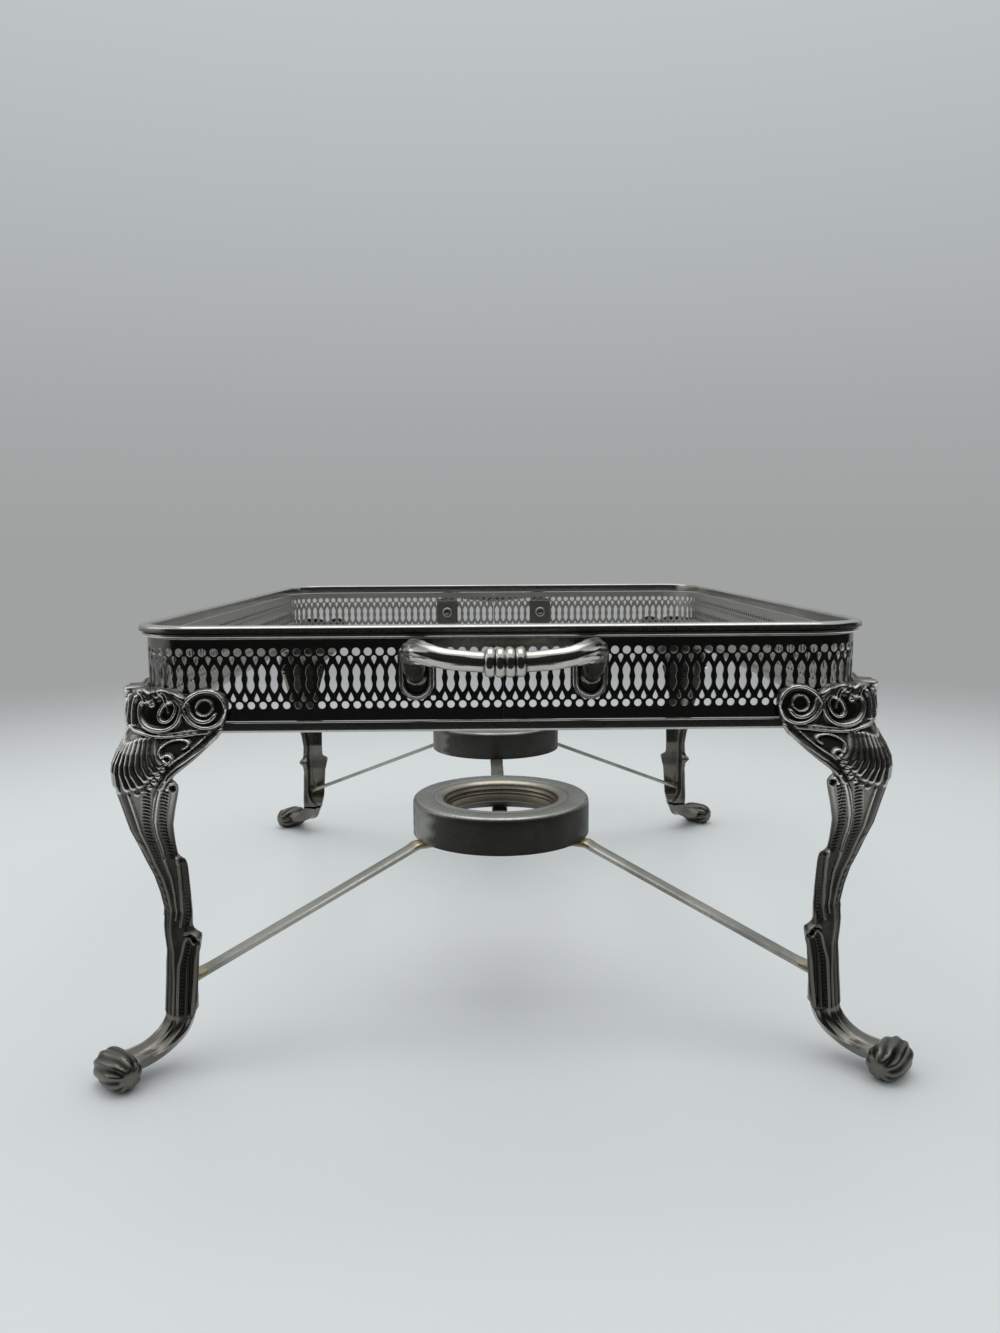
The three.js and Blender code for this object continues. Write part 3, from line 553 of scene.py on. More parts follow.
# Distance from the nose along a face, height of the knee's top edge there
KNEE_TOP = np.array([
    (0, 145.8), (2, 146.4), (4, 147), (6.5, 147.3), (8.2, 146), (9.5, 146.6),
    (12, 147.2), (14, 147), (16.5, 146), (18.2, 144.8), (20, 144.3), (22, 145.2),
    (25, 146.8), (28, 147.4), (31, 147),
])
KNEE_WARP_FROM = 138.0
KNEE_ROW_TOP = 148.0
KNEE_ROW_BOTTOM = 110.0
LEDGE_FACE = 19.3
LEDGE_HEIGHT = 130.0
RIM_SEAT_TOP = 134.3
RIM_FACE = CORNER_RADIUS + 2.2
SHELL_FACE = CORNER_RADIUS + 1.8

# Height, thickness of the leg's wall. The hollow closes towards the ankle.
WALLS = np.array([(148, 2.3), (31, 2.4), (27, 3.4), (24, 5), (20.2, 8.5)])

# Raised lines on the legs: half width, height, and points as [distance from the nose, height].
# The two volute lines cross between the eye and the scroll.
LINES = {
    "volute over": (0.95, 1.35, [
        (35.6, 139.4), (34.6, 142.2), (32.6, 144.7), (29.8, 146), (26.6, 146), (23.6, 144.9),
        (21.3, 143), (19.8, 140.6), (19.3, 137.9), (18.5, 135.3), (16.6, 133.3), (13.7, 132.2),
        (10.4, 132.4), (7.4, 133.6), (5.4, 136), (4.6, 139), (5, 141.6), (7, 143),
        (9, 142.6), (9.6, 141.2)]),
    "volute under": (0.85, 1.25, [
        (35.6, 139.4), (35, 136.8), (33.2, 134.4), (30.2, 133), (26.8, 133), (23.6, 134.6),
        (21.4, 137), (19.9, 139.6), (18.6, 141.8), (17, 143.4), (15, 144.6)]),
    "crescent": (0.95, 0.95, [
        (21.5, 141.3), (22.5, 138.4), (24.6, 136), (27.3, 135), (29.9, 135.5), (31.6, 137.3)]),
    "curled leaf": (0.8, 1.1, [
        (14.2, 144.8), (16.6, 142.8), (17.6, 140), (16.8, 137.2), (15, 135.3), (12.8, 135.4),
        (11.7, 137.2), (12.3, 139.6), (13.6, 142.2), (14.2, 144.8)]),
    "leaf vein": (0.5, 0.6, [(14, 141.8), (15, 138.6)]),
    "nose arc": (1.1, 1.3, [(2, 134.2), (1.5, 138), (1.5, 141.4), (2.4, 143.8)]),
    "ledge over": (0.7, 1.0, [
        (29.8, 131.8), (25.9, 131.9), (20.8, 131.4), (16.2, 130.9), (12, 131.2), (8.8, 132),
        (6.2, 133.6)]),
    "ledge under": (0.8, 1.25, [
        (29, 131.1), (25, 130.8), (20.2, 130.2), (14.9, 129.9), (10.1, 130), (6.6, 130.8),
        (2.8, 131.8), (0, 133.4)]),
    "panel edge": (0.5, 0.95, [
        (28.5, 129.8), (26.7, 126.9), (24.6, 124.3), (21.5, 121.5), (20.2, 120.3)]),
    "panel scroll": (0.6, 1.05, [
        (22.6, 125.7), (23.6, 126.2), (23.6, 127.4), (21.8, 128.6), (18.8, 128.8), (16.2, 128),
        (14.6, 126.2), (14.8, 124.4), (16.4, 122.4), (18.2, 121.2)]),
    "panel curl": (0.65, 1.05, [
        (16.9, 122.6), (17.4, 123.5), (18.9, 123.3), (20.2, 122.2), (20, 121.3), (18.9, 120.6)]),
    "top leaf tip": (0.75, 1.2, [(19, 111.2), (20.5, 113), (22, 114), (22.8, 113)]),
    "middle leaf tip": (0.75, 1.2, [
        (17, 81.2), (17.4, 83), (16.4, 84.6), (14.2, 84.9), (12.2, 83.4), (11.6, 81)]),
    "middle leaf edge": (0.9, 0.7, [
        (16, 80.2), (13.4, 73.8), (11.2, 66.2), (10.2, 60), (9.6, 54.2)]),
    "middle ridge": (0.75, 0.7, [
        (11.6, 81), (9.2, 74.5), (7.4, 67.2), (6.4, 61.5), (6, 55.6)]),
    "low leaf tip": (0.75, 1.2, [
        (12.9, 47.8), (13, 50.2), (11.8, 52.2), (9.6, 52.9), (7.6, 52.4)]),
    "low leaf border": (0.75, 0.95, [
        (10.2, 48.3), (9.2, 50.8), (7.5, 50.1), (6, 46.4), (4.8, 41.6), (4.2, 37),
        (4.2, 20.2)]),
    "low leaf edge": (0.8, 0.6, [
        (12, 47.5), (11, 43.6), (10.5, 39.5), (10.2, 33.8), (9.6, 20.2)]),
    "low leaf vein": (0.35, 0.3, [(9.5, 49.1), (8, 45.2), (7.2, 41), (7, 20.2)]),
    "nose line": (0.65, 0.6, [
        (4.6, 109), (4.3, 100), (3.8, 90), (3.2, 80), (2.8, 70), (2.2, 60),
        (2, 55), (2, 47.8), (2.2, 40.2), (2.5, 34.2), (2.5, 20.2)]),
    "lobe by eye": (1.4, 1.3, [(19.6, 143.2), (18, 144.4), (16.6, 145.1)]),
    "lobe by leaf": (2.4, 1.9, [(15, 143.4), (14.2, 145), (12.2, 146.2)]),
    "lobe between": (1.3, 1.5, [(10.6, 144.6), (9.6, 145.6), (8.9, 146.4)]),
    "lobe by nose": (2.4, 2.2, [(7.6, 143.6), (6.6, 145.6), (4.8, 146.8)]),
}
# The band along the bracket thins out from its first width to its last
BRACKET_BAND = [(33.8, 131.4), (32, 127.8), (29.2, 124.2), (25.4, 120.6), (21.7, 117.3),
                (18.9, 114.2), (16.5, 110.9), (14, 107.1), (10.7, 98.9), (9, 90.5),
                (7.4, 82), (6.2, 74), (5, 66), (4.2, 58)]
BRACKET_BAND_WIDTHS = (1.45, 0.45)
BRACKET_BAND_HEIGHT = 0.95
# Ridges of the fluted shell on the corner, each from its top to its lobe
FLUTES = [
    [(10.4, 129.1), (12.5, 125.1), (14.8, 121.8), (16.9, 120)],
    [(9, 129.1), (11.1, 124.4), (13.2, 120.8), (15.6, 118.2)],
    [(7.4, 129), (9.5, 123.9), (11.3, 119.9), (13.8, 116.4)],
    [(5.8, 128.9), (7.8, 123.3), (9.4, 118.7), (11.8, 115)],
    [(4.1, 128.3), (6.2, 122.1), (7.4, 117.6), (9.5, 113)],
    [(2.6, 127.6), (4.4, 121.9), (5.5, 117.2), (7.2, 112.2)],
    [(1.2, 127.2), (2.4, 121.5), (3.2, 116.5), (4.6, 111.5)],
    [(0, 127), (0, 120), (0, 115), (0, 110)],
]
FLUTE_HALF_WIDTH = 1.0
FLUTE_HEIGHT = 1.1
FLUTE_LOBE = 1.45
# Round lumps: distance from the nose, height, radius, relief
LUMPS = [
    (9.3, 141.4, 1.35, 1.6),
    (18, 118.6, 1.1, 0.9), (16.6, 116.4, 1.2, 1), (15, 114.2, 1.25, 1),
    (13, 112.2, 1.25, 0.9), (10.6, 110.6, 1.2, 0.8), (7.8, 109.6, 1.2, 0.7),
    (0, 88.2, 2.2, 0.6),
]
# Pits under the curled leaf tips: distance from the nose, height, radius, depth
PITS = [
    (21, 111.8, 1.3, 1.1), (15.2, 82.2, 1.3, 1.1), (13.4, 82.6, 0.8, 0.7),
    (10.9, 50.2, 1.2, 1.1), (9.2, 51.8, 0.6, 0.5),
]
# Sunk fields: distance and height of the middle, half width, half height, depth
FIELDS = [
    (27.8, 139.6, 7.4, 6, 0.35), (12.6, 138, 6, 5.2, 0.4), (19.8, 125.2, 5.2, 3.9, 0.45),
]
# Ring in the volute's eye: distance and height of its middle, radius, half width, relief
EYE = (27.6, 140.1, 3.0, 0.5, 0.6)
# Rows of barbs: line along their middle, half width, depth
BARB_ROWS = [
    ([(11.8, 111.4), (9.8, 104.9), (7.7, 98.9), (6.2, 90.4)], 1.5, 0.65),
    ([(6.2, 90.4), (4.9, 80), (3.9, 68)], 0.9, 0.55),
    ([(18, 110.4), (15.6, 104.6), (13.4, 98.8), (12, 90.4), (11.2, 85)], 1.4, 0.75),
    ([(14, 80), (11, 72), (9.1, 64.8), (8.2, 56.5)], 0.9, 0.6),
    ([(8.4, 48.8), (7.2, 44), (6.2, 40), (5.7, 34), (5.7, 20.2)], 1.05, 0.65),
]
BARB_PITCH = 1.45
# How dark painted shade makes the ground of the shank, the strip along the nose, the ankle, the leg's
# inside, the sunk fields, the channels and the gaps between barbs
SHANK_SHADE = 0.78
NOSE_SHADE = 0.85
ANKLE_SHADE = 0.88
INSIDE_SHADE = 0.25
FIELD_SHADE = 0.75
CHANNEL_SHADE = 0.6
BARB_SHADE = 0.8
# Smooth sunk channels: line along their middle, half width, depth
CHANNELS = [
    ([(9.4, 47.3), (8.9, 43), (8.6, 39), (8.5, 20.2)], 0.6, 0.5),
    ([(16, 111), (13.2, 105.5), (10.5, 98.9), (9, 90.5), (7.8, 84)], 0.35, 0.5),
    ([(14.3, 142.4), (13.9, 144), (12.9, 145.4)], 0.4, 0.8),
    ([(7.3, 142.8), (6.6, 144.6), (5.4, 146)], 0.4, 0.8),
]
# Curled tips at the ends of the faces: height, how far they stand out
WING_TIPS = [(114, 0.9), (82.6, 1.1), (51.3, 1.8)]
WING_RECESS = 0.8
EDGE_LINE_HEIGHT = 0.45
# Notches on the nose of the shank
NOTCH_PITCH = 3.1
NOTCH_HEIGHT = 0.4


def section_curve(face, nose, wing_end, share):
    """Points across a leg at one height, and their outward normals. The share runs from -1 at
    the end of the face towards +X to 1 at the end of the face towards +Y."""
    quarter = nose * math.pi / 4
    reach = face - nose - wing_end + quarter
    distance = share * reach
    side = np.abs(distance)
    turn = np.minimum(side / nose, math.pi / 4)
    angle = math.pi / 4 + np.sign(distance) * turn
    straight = np.maximum(side - quarter, 0)
    x = face - nose + nose * np.cos(angle) - np.where(distance > 0, straight, 0)
    y = face - nose + nose * np.sin(angle) - np.where(distance < 0, straight, 0)
    return x, y, np.cos(angle), np.sin(angle), side, reach


def by_height(table, z, column):
    order = np.argsort(table[:, 0])
    return np.interp(z, table[order, 0], table[order, column])


def rounded(gap, half_width):
    """Cross-section of a raised line: 1 on its middle, 0 outside its half width."""
    return np.clip(1 - (gap / half_width) ** 2, 0, 1) ** 0.65


def leg_relief(d, z, reach):
    """How far the ornament stands out, and how dark painted shade makes its sunk fields, pits,
    channels, barbs, shank and ankle.
    """
    def gap_and_share(line):
        return line_distance(d, z, smooth_line(line, 4))

    def gap_to(line):
        return gap_and_share(line)[0]

    forms = [height * rounded(gap_to(line), half_width) for half_width, height, line in LINES.values()]
    gap, share = gap_and_share(BRACKET_BAND)
    forms.append(BRACKET_BAND_HEIGHT * rounded(gap, np.interp(share, [0, 1], BRACKET_BAND_WIDTHS)))
    for line in FLUTES:
        gap, share = gap_and_share(line)
        half_width = FLUTE_HALF_WIDTH + (FLUTE_LOBE - FLUTE_HALF_WIDTH) * share ** 3
        forms.append(FLUTE_HEIGHT * rounded(gap, half_width))
    for at, up, radius, height in LUMPS:
        forms.append(height * rounded(np.hypot(d - at, z - up), radius))
    at, up, radius, half_width, height = EYE
    forms.append(height * rounded(np.abs(np.hypot(d - at, z - up) - radius), half_width))
    raised = np.maximum.reduce(forms)

    open_ground = falling(raised, 0.1, 0.6)
    sinks, darks = [], []
    for at, up, half_width, half_height, depth in FIELDS:
        inside = falling(np.hypot((d - at) / half_width, (z - up) / half_height), 0.8, 1)
        sinks.append(depth * inside * open_ground)
        darks.append(FIELD_SHADE * inside * open_ground)
    for at, up, radius, depth in PITS:
        inside = rounded(np.hypot(d - at, z - up), radius)
        sinks.append(depth * inside)
        darks.append(inside)
    for line, half_width, depth in CHANNELS:
        inside = rounded(gap_to(line), half_width)
        sinks.append(depth * inside)
        darks.append(CHANNEL_SHADE * inside)
    barbs = 0.5 + 0.5 * np.cos(2 * math.pi * (z + 0.3 * d) / BARB_PITCH)
    clear = 0.65 + 0.35 * smooth_step(z, 78.0, 94.0)
    for line, half_width, depth in BARB_ROWS:
        inside = rounded(gap_to(line), half_width) * clear
        sinks.append(depth * inside * (0.25 + 0.75 * barbs))
        darks.append(BARB_SHADE * inside * barbs)
    # Painted shade on the lower shank, along the nose and at the ankle, partly over the raised lines
    # too
    shade = np.maximum.reduce([SHANK_SHADE * falling(z, 88.0, 108.0),
                               NOSE_SHADE * falling(z, 108.0, 112.0) * falling(d, 4, 7),
                               ANKLE_SHADE * falling(z, 46.0, 66.0)])
    on_lines = 0.5 * falling(z, 84.0, 104.0)
    darks.append(shade * (on_lines + (1 - on_lines) * open_ground))
    sunk = np.maximum.reduce(sinks)

    from_end = reach - d
    for up, height in WING_TIPS:
        tip = np.exp(-((z - up) / 2.0) ** 2) * falling(from_end, 0.0, 3.2)
        raised = raised + height * tip
    on_shank = falling(z, 108.0, 116.0)
    sunk = sunk + WING_RECESS * on_shank * falling(from_end, 0.0, 4.0)
    edge_line = on_shank * rounded(from_end - 1.2, 0.8)
    raised = raised + EDGE_LINE_HEIGHT * edge_line
    notches = 0.5 + 0.5 * np.cos(2 * math.pi * z / NOTCH_PITCH)
    on_nose = smooth_step(z, 58, 62) * falling(z, 80, 84) * rounded(d, 1.4)
    return raised - sunk + NOTCH_HEIGHT * notches * on_nose, np.maximum.reduce(darks)


ROWS_ON_KNEE = 129
ROWS_ON_SHANK = 328
COLUMNS_OF_LEG = 185
COARSE = 4


def snapped(heights, steps):
    """Moves the two heights next to each step of the inner skin onto that step."""
    heights = heights.copy()
    for step in steps:
        below = np.argmax(heights < step)
        heights[below] = step - 0.01
        heights[below - 1] = step + 0.01
    return heights


def knee_warp(row_z, top):
    """Stretches the knee's upper rows so that they end at its uneven top edge."""
    stretch = (top - KNEE_WARP_FROM) / (KNEE_ROW_TOP - KNEE_WARP_FROM)
    return np.where(row_z > KNEE_WARP_FROM, KNEE_WARP_FROM + (row_z - KNEE_WARP_FROM) * stretch,
                    row_z)


def leg_grids():
    """The leg's outer skin with its relief, its tarnish in hollows and painted shade, its paler worn
    ridges with a painted highlight, and the smooth inner skin.
    """
    knee = np.linspace(KNEE_ROW_TOP, KNEE_ROW_BOTTOM, ROWS_ON_KNEE)
    shank = np.linspace(KNEE_ROW_BOTTOM, FACES[-1, 0], ROWS_ON_SHANK + 1)[1:]
    height = np.concatenate([knee, shank])
    across = np.linspace(-1, 1, COLUMNS_OF_LEG)
    row_z, share = np.meshgrid(height, across, indexing="ij")
    face = by_height(FACES, row_z, 1)
    nose = by_height(FACES, row_z, 2)
    wing = by_height(WING_ENDS, row_z, 1)
    x, y, nx, ny, d, reach = section_curve(face, nose, wing, share)
    top = np.interp(d, KNEE_TOP[:, 0], KNEE_TOP[:, 1])
    z = knee_warp(row_z, top)
    relief, dark = leg_relief(d, z, reach)
    # Tarnish in the relief's hollows, joined with the painted shade
    local = blurred(relief, 14) - relief
    hollow = blurred(np.maximum(np.clip((local - 0.04) / 0.4, 0, 1), dark), 1)
    # Raised ridges are made paler: wear and a painted highlight. Low on the shank there is less of it,
    # a painted shade
    rubbed = blurred(np.clip(-local / 0.26, 0, 1), 1)
    rubbed *= 0.25 + 0.75 * smooth_step(z, 70.0, 112.0)
    relief -= 0.7 * falling(reach - d, 0.0, 0.9)
    relief -= 0.6 * falling(top - z, 0.0, 0.7) * (row_z > KNEE_WARP_FROM)
    outer = np.stack([x + nx * relief, y + ny * relief, z], axis=-1)

    coarse = np.s_[::COARSE, ::COARSE]
    low = snapped(height[::COARSE], (LEDGE_HEIGHT, RIM_SEAT_TOP))
    low_z = np.broadcast_to(low[:, None], share[coarse].shape)
    shell = face[coarse] - by_height(WALLS, low_z, 1)
    blend = smooth_step(low_z, LEDGE_HEIGHT - 8, LEDGE_HEIGHT - 0.4)
    inner_face = shell * (1 - blend) + LEDGE_FACE * blend
    inner_face = np.where(low_z > LEDGE_HEIGHT, RIM_FACE, inner_face)
    inner_face = np.where(low_z > RIM_SEAT_TOP, SHELL_FACE, inner_face)
    inner_nose = np.maximum(nose[coarse] - (face[coarse] - inner_face), 1.0)
    inner_nose = np.where(low_z > LEDGE_HEIGHT, inner_face, inner_nose)
    ix, iy, _, _, _, _ = section_curve(inner_face, inner_nose, wing[coarse], share[coarse])
    inner = np.stack([ix, iy, knee_warp(low_z, top[coarse])], axis=-1)
    return outer, hollow, rubbed, inner


# The neck and the rolled foot, measured out along the corner's diagonal
FOOT_REACH = 44.5
FOOT_RADIUS = 6.8
FOOT_CENTRE_Z = 6.4
FOOT_HALF_WIDTH = 10.4
# Half of the foot's roll from its middle to its end, as [share of half its width, share of its
# radius]
FOOT_BELLY = [(0, 1), (0.2, 0.995), (0.4, 0.97), (0.6, 0.9), (0.75, 0.8), (0.87, 0.65),
              (0.95, 0.47), (0.99, 0.28), (1, 0.1)]
FOOT_GROOVES = 9
FOOT_GROOVE_DEPTH = 0.34
# How far the grooves turn round the roll from its middle to an end, as an angle of their wave
FOOT_GROOVE_TWIST = 3.4
# Nose line of the neck from the shank to the roll: distance out, height, half width, share of
# the shank's arch that is left, thickness, width of the underside as a share
NECK = [
    (23.25, 20.2, 7.9, 1, 9.4, 0.22), (23.7, 18.2, 7.6, 0.85, 8.6, 0.3),
    (25, 16.3, 7.2, 0.7, 7.6, 0.42), (27.2, 14.4, 6.9, 0.6, 6.4, 0.55),
    (30, 12.8, 6.7, 0.5, 5.4, 0.7), (33, 11.8, 6.6, 0.42, 4.9, 0.8),
    (36, 11.35, 6.6, 0.38, 4.8, 0.85), (39, 11.2, 6.6, 0.35, 4.8, 0.85),
    (42, 11.2, 6.6, 0.35, 4.8, 0.85),
]


def diagonal_point(out, across, z):
    """From distances along and across the corner's diagonal to X and Y."""
    root = math.sqrt(0.5)
    return np.stack(np.broadcast_arrays((out + across) * root, (out - across) * root, z), axis=-1)


def neck_rows():
    """Loops of the neck that carries the shank's arched strip out to the roll."""
    face, nose = FACES[-1, 1:]
    x, y, _, _, d, reach = section_curve(face, nose, WING_ENDS[-1, 1], np.linspace(-1, 1, 61))
    out = (x + y) * math.sqrt(0.5)
    across = (x - y) * math.sqrt(0.5)
    drop = out - out.max()
    width = across.max()
    line = smooth_line(NECK, 5)
    ribs = 0.5 * rounded(d - 2.5, 0.9) + 0.6 * rounded(d - 4.4, 0.8)
    ribs += 0.6 * rounded(reach - d - 1.6, 1.1)
    rows, hollows = [], []
    for (o, z, half, arch, thick, base), (along_o, along_z) in zip(line, directions(line[:, :2])):
        fade = smooth_step(arch, 0.34, 0.8)
        top = drop * arch + ribs * fade
        under = (drop * arch * 0.2 - thick)[::-1]
        side = np.concatenate([top, under])
        wide = np.concatenate([across, across[::-1] * base]) / width * half
        rows.append(diagonal_point(o - side * along_z, wide, z + side * along_o))
        hollow = np.clip(0.4 - ribs, 0, 1) * fade
        hollows.append(np.concatenate([hollow, np.zeros(len(d))]))
    return np.array(rows), np.array(hollows)


def roll_grid():
    """The rolled toe: an egg across the diagonal, with shell grooves towards its two ends."""
    around = full_turn(112)
    belly = smooth_line(FOOT_BELLY, 5)
    line = [(-a, r) for a, r in belly[:0:-1]] + [tuple(p) for p in belly]
    rows, hollows = [], []
    for along, size in line:
        near_end = 0.6 + 0.4 * smooth_step(abs(along), 0.15, 0.6)
        near_end *= falling(abs(along), 0.86, 1.0)
        wave = np.cos(FOOT_GROOVES * around + FOOT_GROOVE_TWIST * along)
        relief = FOOT_GROOVE_DEPTH * near_end * wave * min(1.0, size * 1.6)
        r = np.maximum(size * FOOT_RADIUS + relief, 0.1)
        out = FOOT_REACH + r * np.cos(around)
        up = np.maximum(FOOT_CENTRE_Z + r * np.sin(around), 0.0)
        rows.append(diagonal_point(out, along * FOOT_HALF_WIDTH, up))
        hollows.append(0.3 + np.clip(0.2 - wave, 0, 1) * near_end * 0.6)
    return np.array(rows), np.array(hollows)


def leg_body():
    outer, hollow, rubbed, inner = leg_grids()
    outer_at = np.arange(hollow.size).reshape(hollow.shape)
    inner_at = np.arange(inner[..., 0].size).reshape(inner.shape[:2]) + hollow.size
    faces = grid_faces(*outer_at.shape)
    faces += [face[::-1] for face in grid_faces(*inner_at.shape, start=hollow.size)]
    for edge in (np.s_[0], np.s_[-1], np.s_[:, 0], np.s_[:, -1]):
        fine, coarse = outer_at[edge].tolist(), inner_at[edge].tolist()
        for i in range(len(coarse) - 1):
            run = fine[i * COARSE:(i + 1) * COARSE + 1]
            faces.append([*run, coarse[i + 1], coarse[i]])
    body = Body()
    body.add(np.concatenate([outer.reshape(-1, 3), inner.reshape(-1, 3)]), faces,
             hollow=np.concatenate([hollow.reshape(-1), np.full(inner_at.size, INSIDE_SHADE)]),
             rubbed=np.concatenate([rubbed.reshape(-1), np.zeros(inner_at.size)]))
    neck, neck_hollow = neck_rows()
    body.tube(neck, hollow=neck_hollow)
    roll, roll_hollow = roll_grid()
    body.tube(roll, hollow=roll_hollow)
    return body


leg = leg_body()
CORNERS = [
    ("rear_right", 1, 1, 0.0), ("rear_left", -1, 1, math.pi / 2),
    ("front_left", -1, -1, math.pi), ("front_right", 1, -1, -math.pi / 2),
]
for corner, side_x, side_y, turn in CORNERS:
    placed = leg.turned(turn).moved(side_x * CORNER_X, side_y * CORNER_Y)
    make_piece(placed, cast, f"leg_{corner}", 60)


# Burner rings

_, RING_HIGH = frame_box("burner_ring_rear")
RING_RADIUS = RING_HIGH[0]
RING_CENTRE_Y = RING_HIGH[1] - RING_RADIUS
# Distance in from the outside, distance down from the top and how dark it is there. The throat
# has thread-like rings.
RING_PROFILE = [(1.2, 15.5, 0.5), (0, 15.5, 0.9), (0, 13, 0.86), (0, 10, 0.86),
                (0, 7, 0.86), (0, 4, 0.86), (0.05, 1.8, 0.8), (0.35, 0.8, 0.1),
                (1, 0.2, 0), (1.8, 0.02, 0), (3.5, 0, 0), (6.5, 0.1, 0),
                (8.6, 0.14, 0), (9, 0.3, 0.6), (9.4, 0.14, 0), (10.3, 0, 0),
                (11.2, 0, 0), (12.1, 0.25, 0), (13, 0.9, 0.1), (13.5, 1.5, 0.85),
                (13.9, 1.9, 0.9), (14.1, 2.5, 0.3), (14.5, 3.1, 0.2), (14.7, 3.5, 0.9),
                (14.6, 4.1, 0.3), (14.9, 4.8, 0.2), (15.2, 5.2, 0.9), (15.1, 5.9, 0.3),
                (15.5, 8.8, 0.5), (15.1, 9.1, 0.4), (14.4, 8.8, 0.7), (14, 6, 0.9),
                (13.5, 3.6, 0.9), (12.6, 2.4, 0.8), (11.5, 1.6, 0.7), (9, 1.5, 0.7),
                (4.5, 1.4, 0.7), (2.1, 1.6, 0.7), (1.4, 2.4, 0.7), (1.2, 4, 0.7),
                (1.2, 10, 0.7)]
# How far in from the outside a ring's metal turns warmer
RING_WARM_FROM = 11.1
# Where the dark side of a ring is paler, as an angle
RING_PATCH_AT = math.radians(205)


def ring_body():
    turns = full_turn(112)[:, None]
    inward, down, dark = np.array(RING_PROFILE).T
    radius, z = RING_RADIUS - inward, RING_HIGH[2] - down
    rows = np.stack(np.broadcast_arrays(radius * np.cos(turns), radius * np.sin(turns), z), axis=-1)
    uneven = 0.75 + 0.25 * np.sin(3 * turns + 1) * np.cos(5 * turns)
    warm = np.clip((inward - RING_WARM_FROM) / 1.5, 0, 1) * 0.85 * uneven
    outside = (inward < 0.5) & (down > 1.2)
    uneven_edge = turns + 0.05 * np.sin(1.1 * z) + 0.03 * np.cos(0.5 * z)
    patch = smooth_step(np.cos(uneven_edge - RING_PATCH_AT), 0.95, 0.99)
    body = Body()
    body.tube(rows, closed=True, hollow=dark - 0.5 * outside * patch, warm=warm)
    return body


ring = ring_body()
for end, side in (("front", -1), ("rear", 1)):
    placed = ring.moved(y=side * RING_CENTRE_Y)
    make_piece(placed, worn, f"burner_ring_{end}", 45)


# Straps

STRAP_LOW, STRAP_HIGH = frame_box("strap_centre")
STRAP_WIDTH = 2 * STRAP_HIGH[0]
STRAP_THICKNESS = STRAP_HIGH[2] - STRAP_LOW[2]
STRAP_RING_Z = (STRAP_LOW[2] + STRAP_HIGH[2]) / 2
# How far a strap reaches under its ring, and where it bends down, both from the ring's edge
STRAP_TAB = 5.0
STRAP_BEND = 1.8
STRAP_LEG_HEIGHT = 31.0
# How far out from a corner's centre a strap ends, along X and along Y
STRAP_SEAT = 11.3
SOLDER_REACH = 3.2
SOLDER_ON_STUB = 6.4
SOLDER_ON_TAB = 5.8
SOLDER_AT_LEG = 5.515


def strap_section():
    """A flat bar with a crowned top and worn round edges, as [across, up] points."""
    half = STRAP_WIDTH / 2
    low = -STRAP_THICKNESS / 2
    top = [(half * math.cos(a), 0.25 + 0.85 * math.sin(a) ** 0.7)
           for a in np.radians(np.linspace(6, 174, 15))]
    return [(0.35 - half, low), (half - 0.35, low), (half - 0.05, low + 0.35), *top,
            (0.05 - half, low + 0.35)]


def strap_body(line, origin, turn, solder):
    """A strap along [distance, height] points, with solder at a distance from each of its ends."""
    line = smooth_line(line, 8)
    along = lengths_along(line)
    tangents = directions(line)
    from_solder = np.minimum(abs(along - solder[0]), abs(along[-1] - along - solder[1]))
    near = np.exp(-(from_solder / SOLDER_REACH) ** 2)[:, None]
    across, up = np.array(strap_section()).T
    rise = up * (1 + 0.45 * near * (up > 0))
    rows = np.stack([line[:, :1] - tangents[:, 1:] * rise, across * (1 + 0.06 * near),
                     line[:, 1:] + tangents[:, :1] * rise], axis=-1)
    body = Body()
    body.tube(rows, warm=np.repeat(near * 0.95, len(across)))
    return body.turned(turn).moved(y=origin)


def evenly(line, step):
    """Adds points to a line so that none are further apart than a step."""
    line = np.array(line, float)
    runs = [np.linspace(a, b, max(1, int(math.dist(a, b) / step)), endpoint=False)
            for a, b in zip(line, line[1:])]
    return np.vstack([*runs, line[-1:]])


centre_line = evenly([(STRAP_LOW[1], STRAP_RING_Z), (STRAP_HIGH[1], STRAP_RING_Z)], 4)
centre_strap = strap_body(centre_line, 0, math.pi / 2, (SOLDER_ON_STUB, SOLDER_ON_STUB))
make_piece(centre_strap, strap_metal, "strap_centre")
for corner, side_x, side_y, _ in CORNERS:
    ring_y = side_y * RING_CENTRE_Y
    run_x = side_x * (CORNER_X + STRAP_SEAT)
    run_y = side_y * (CORNER_Y + STRAP_SEAT) - ring_y
    run = math.hypot(run_x, run_y)
    line = evenly([(RING_RADIUS - STRAP_TAB, STRAP_RING_Z), (RING_RADIUS + STRAP_BEND, STRAP_RING_Z),
                   (run, STRAP_LEG_HEIGHT)], 3)
    strap = strap_body(line, ring_y, math.atan2(run_y, run_x), (SOLDER_ON_TAB, SOLDER_AT_LEG))
    make_piece(strap, strap_metal, f"strap_{corner}")


# Handles

SHIELD_LOW, SHIELD_HIGH = frame_box("shield_rear_right")
HANDLE_STANDOFF = 28.0
BAR_RISE = 7.6
HANDLE_OUT = END_FACE + HANDLE_STANDOFF
BAR_Z = STUD_HEIGHT + BAR_RISE
BAR_RADIUS = 3.5
ARM_START = SHIELD_HIGH[1] + PIECE_GAP
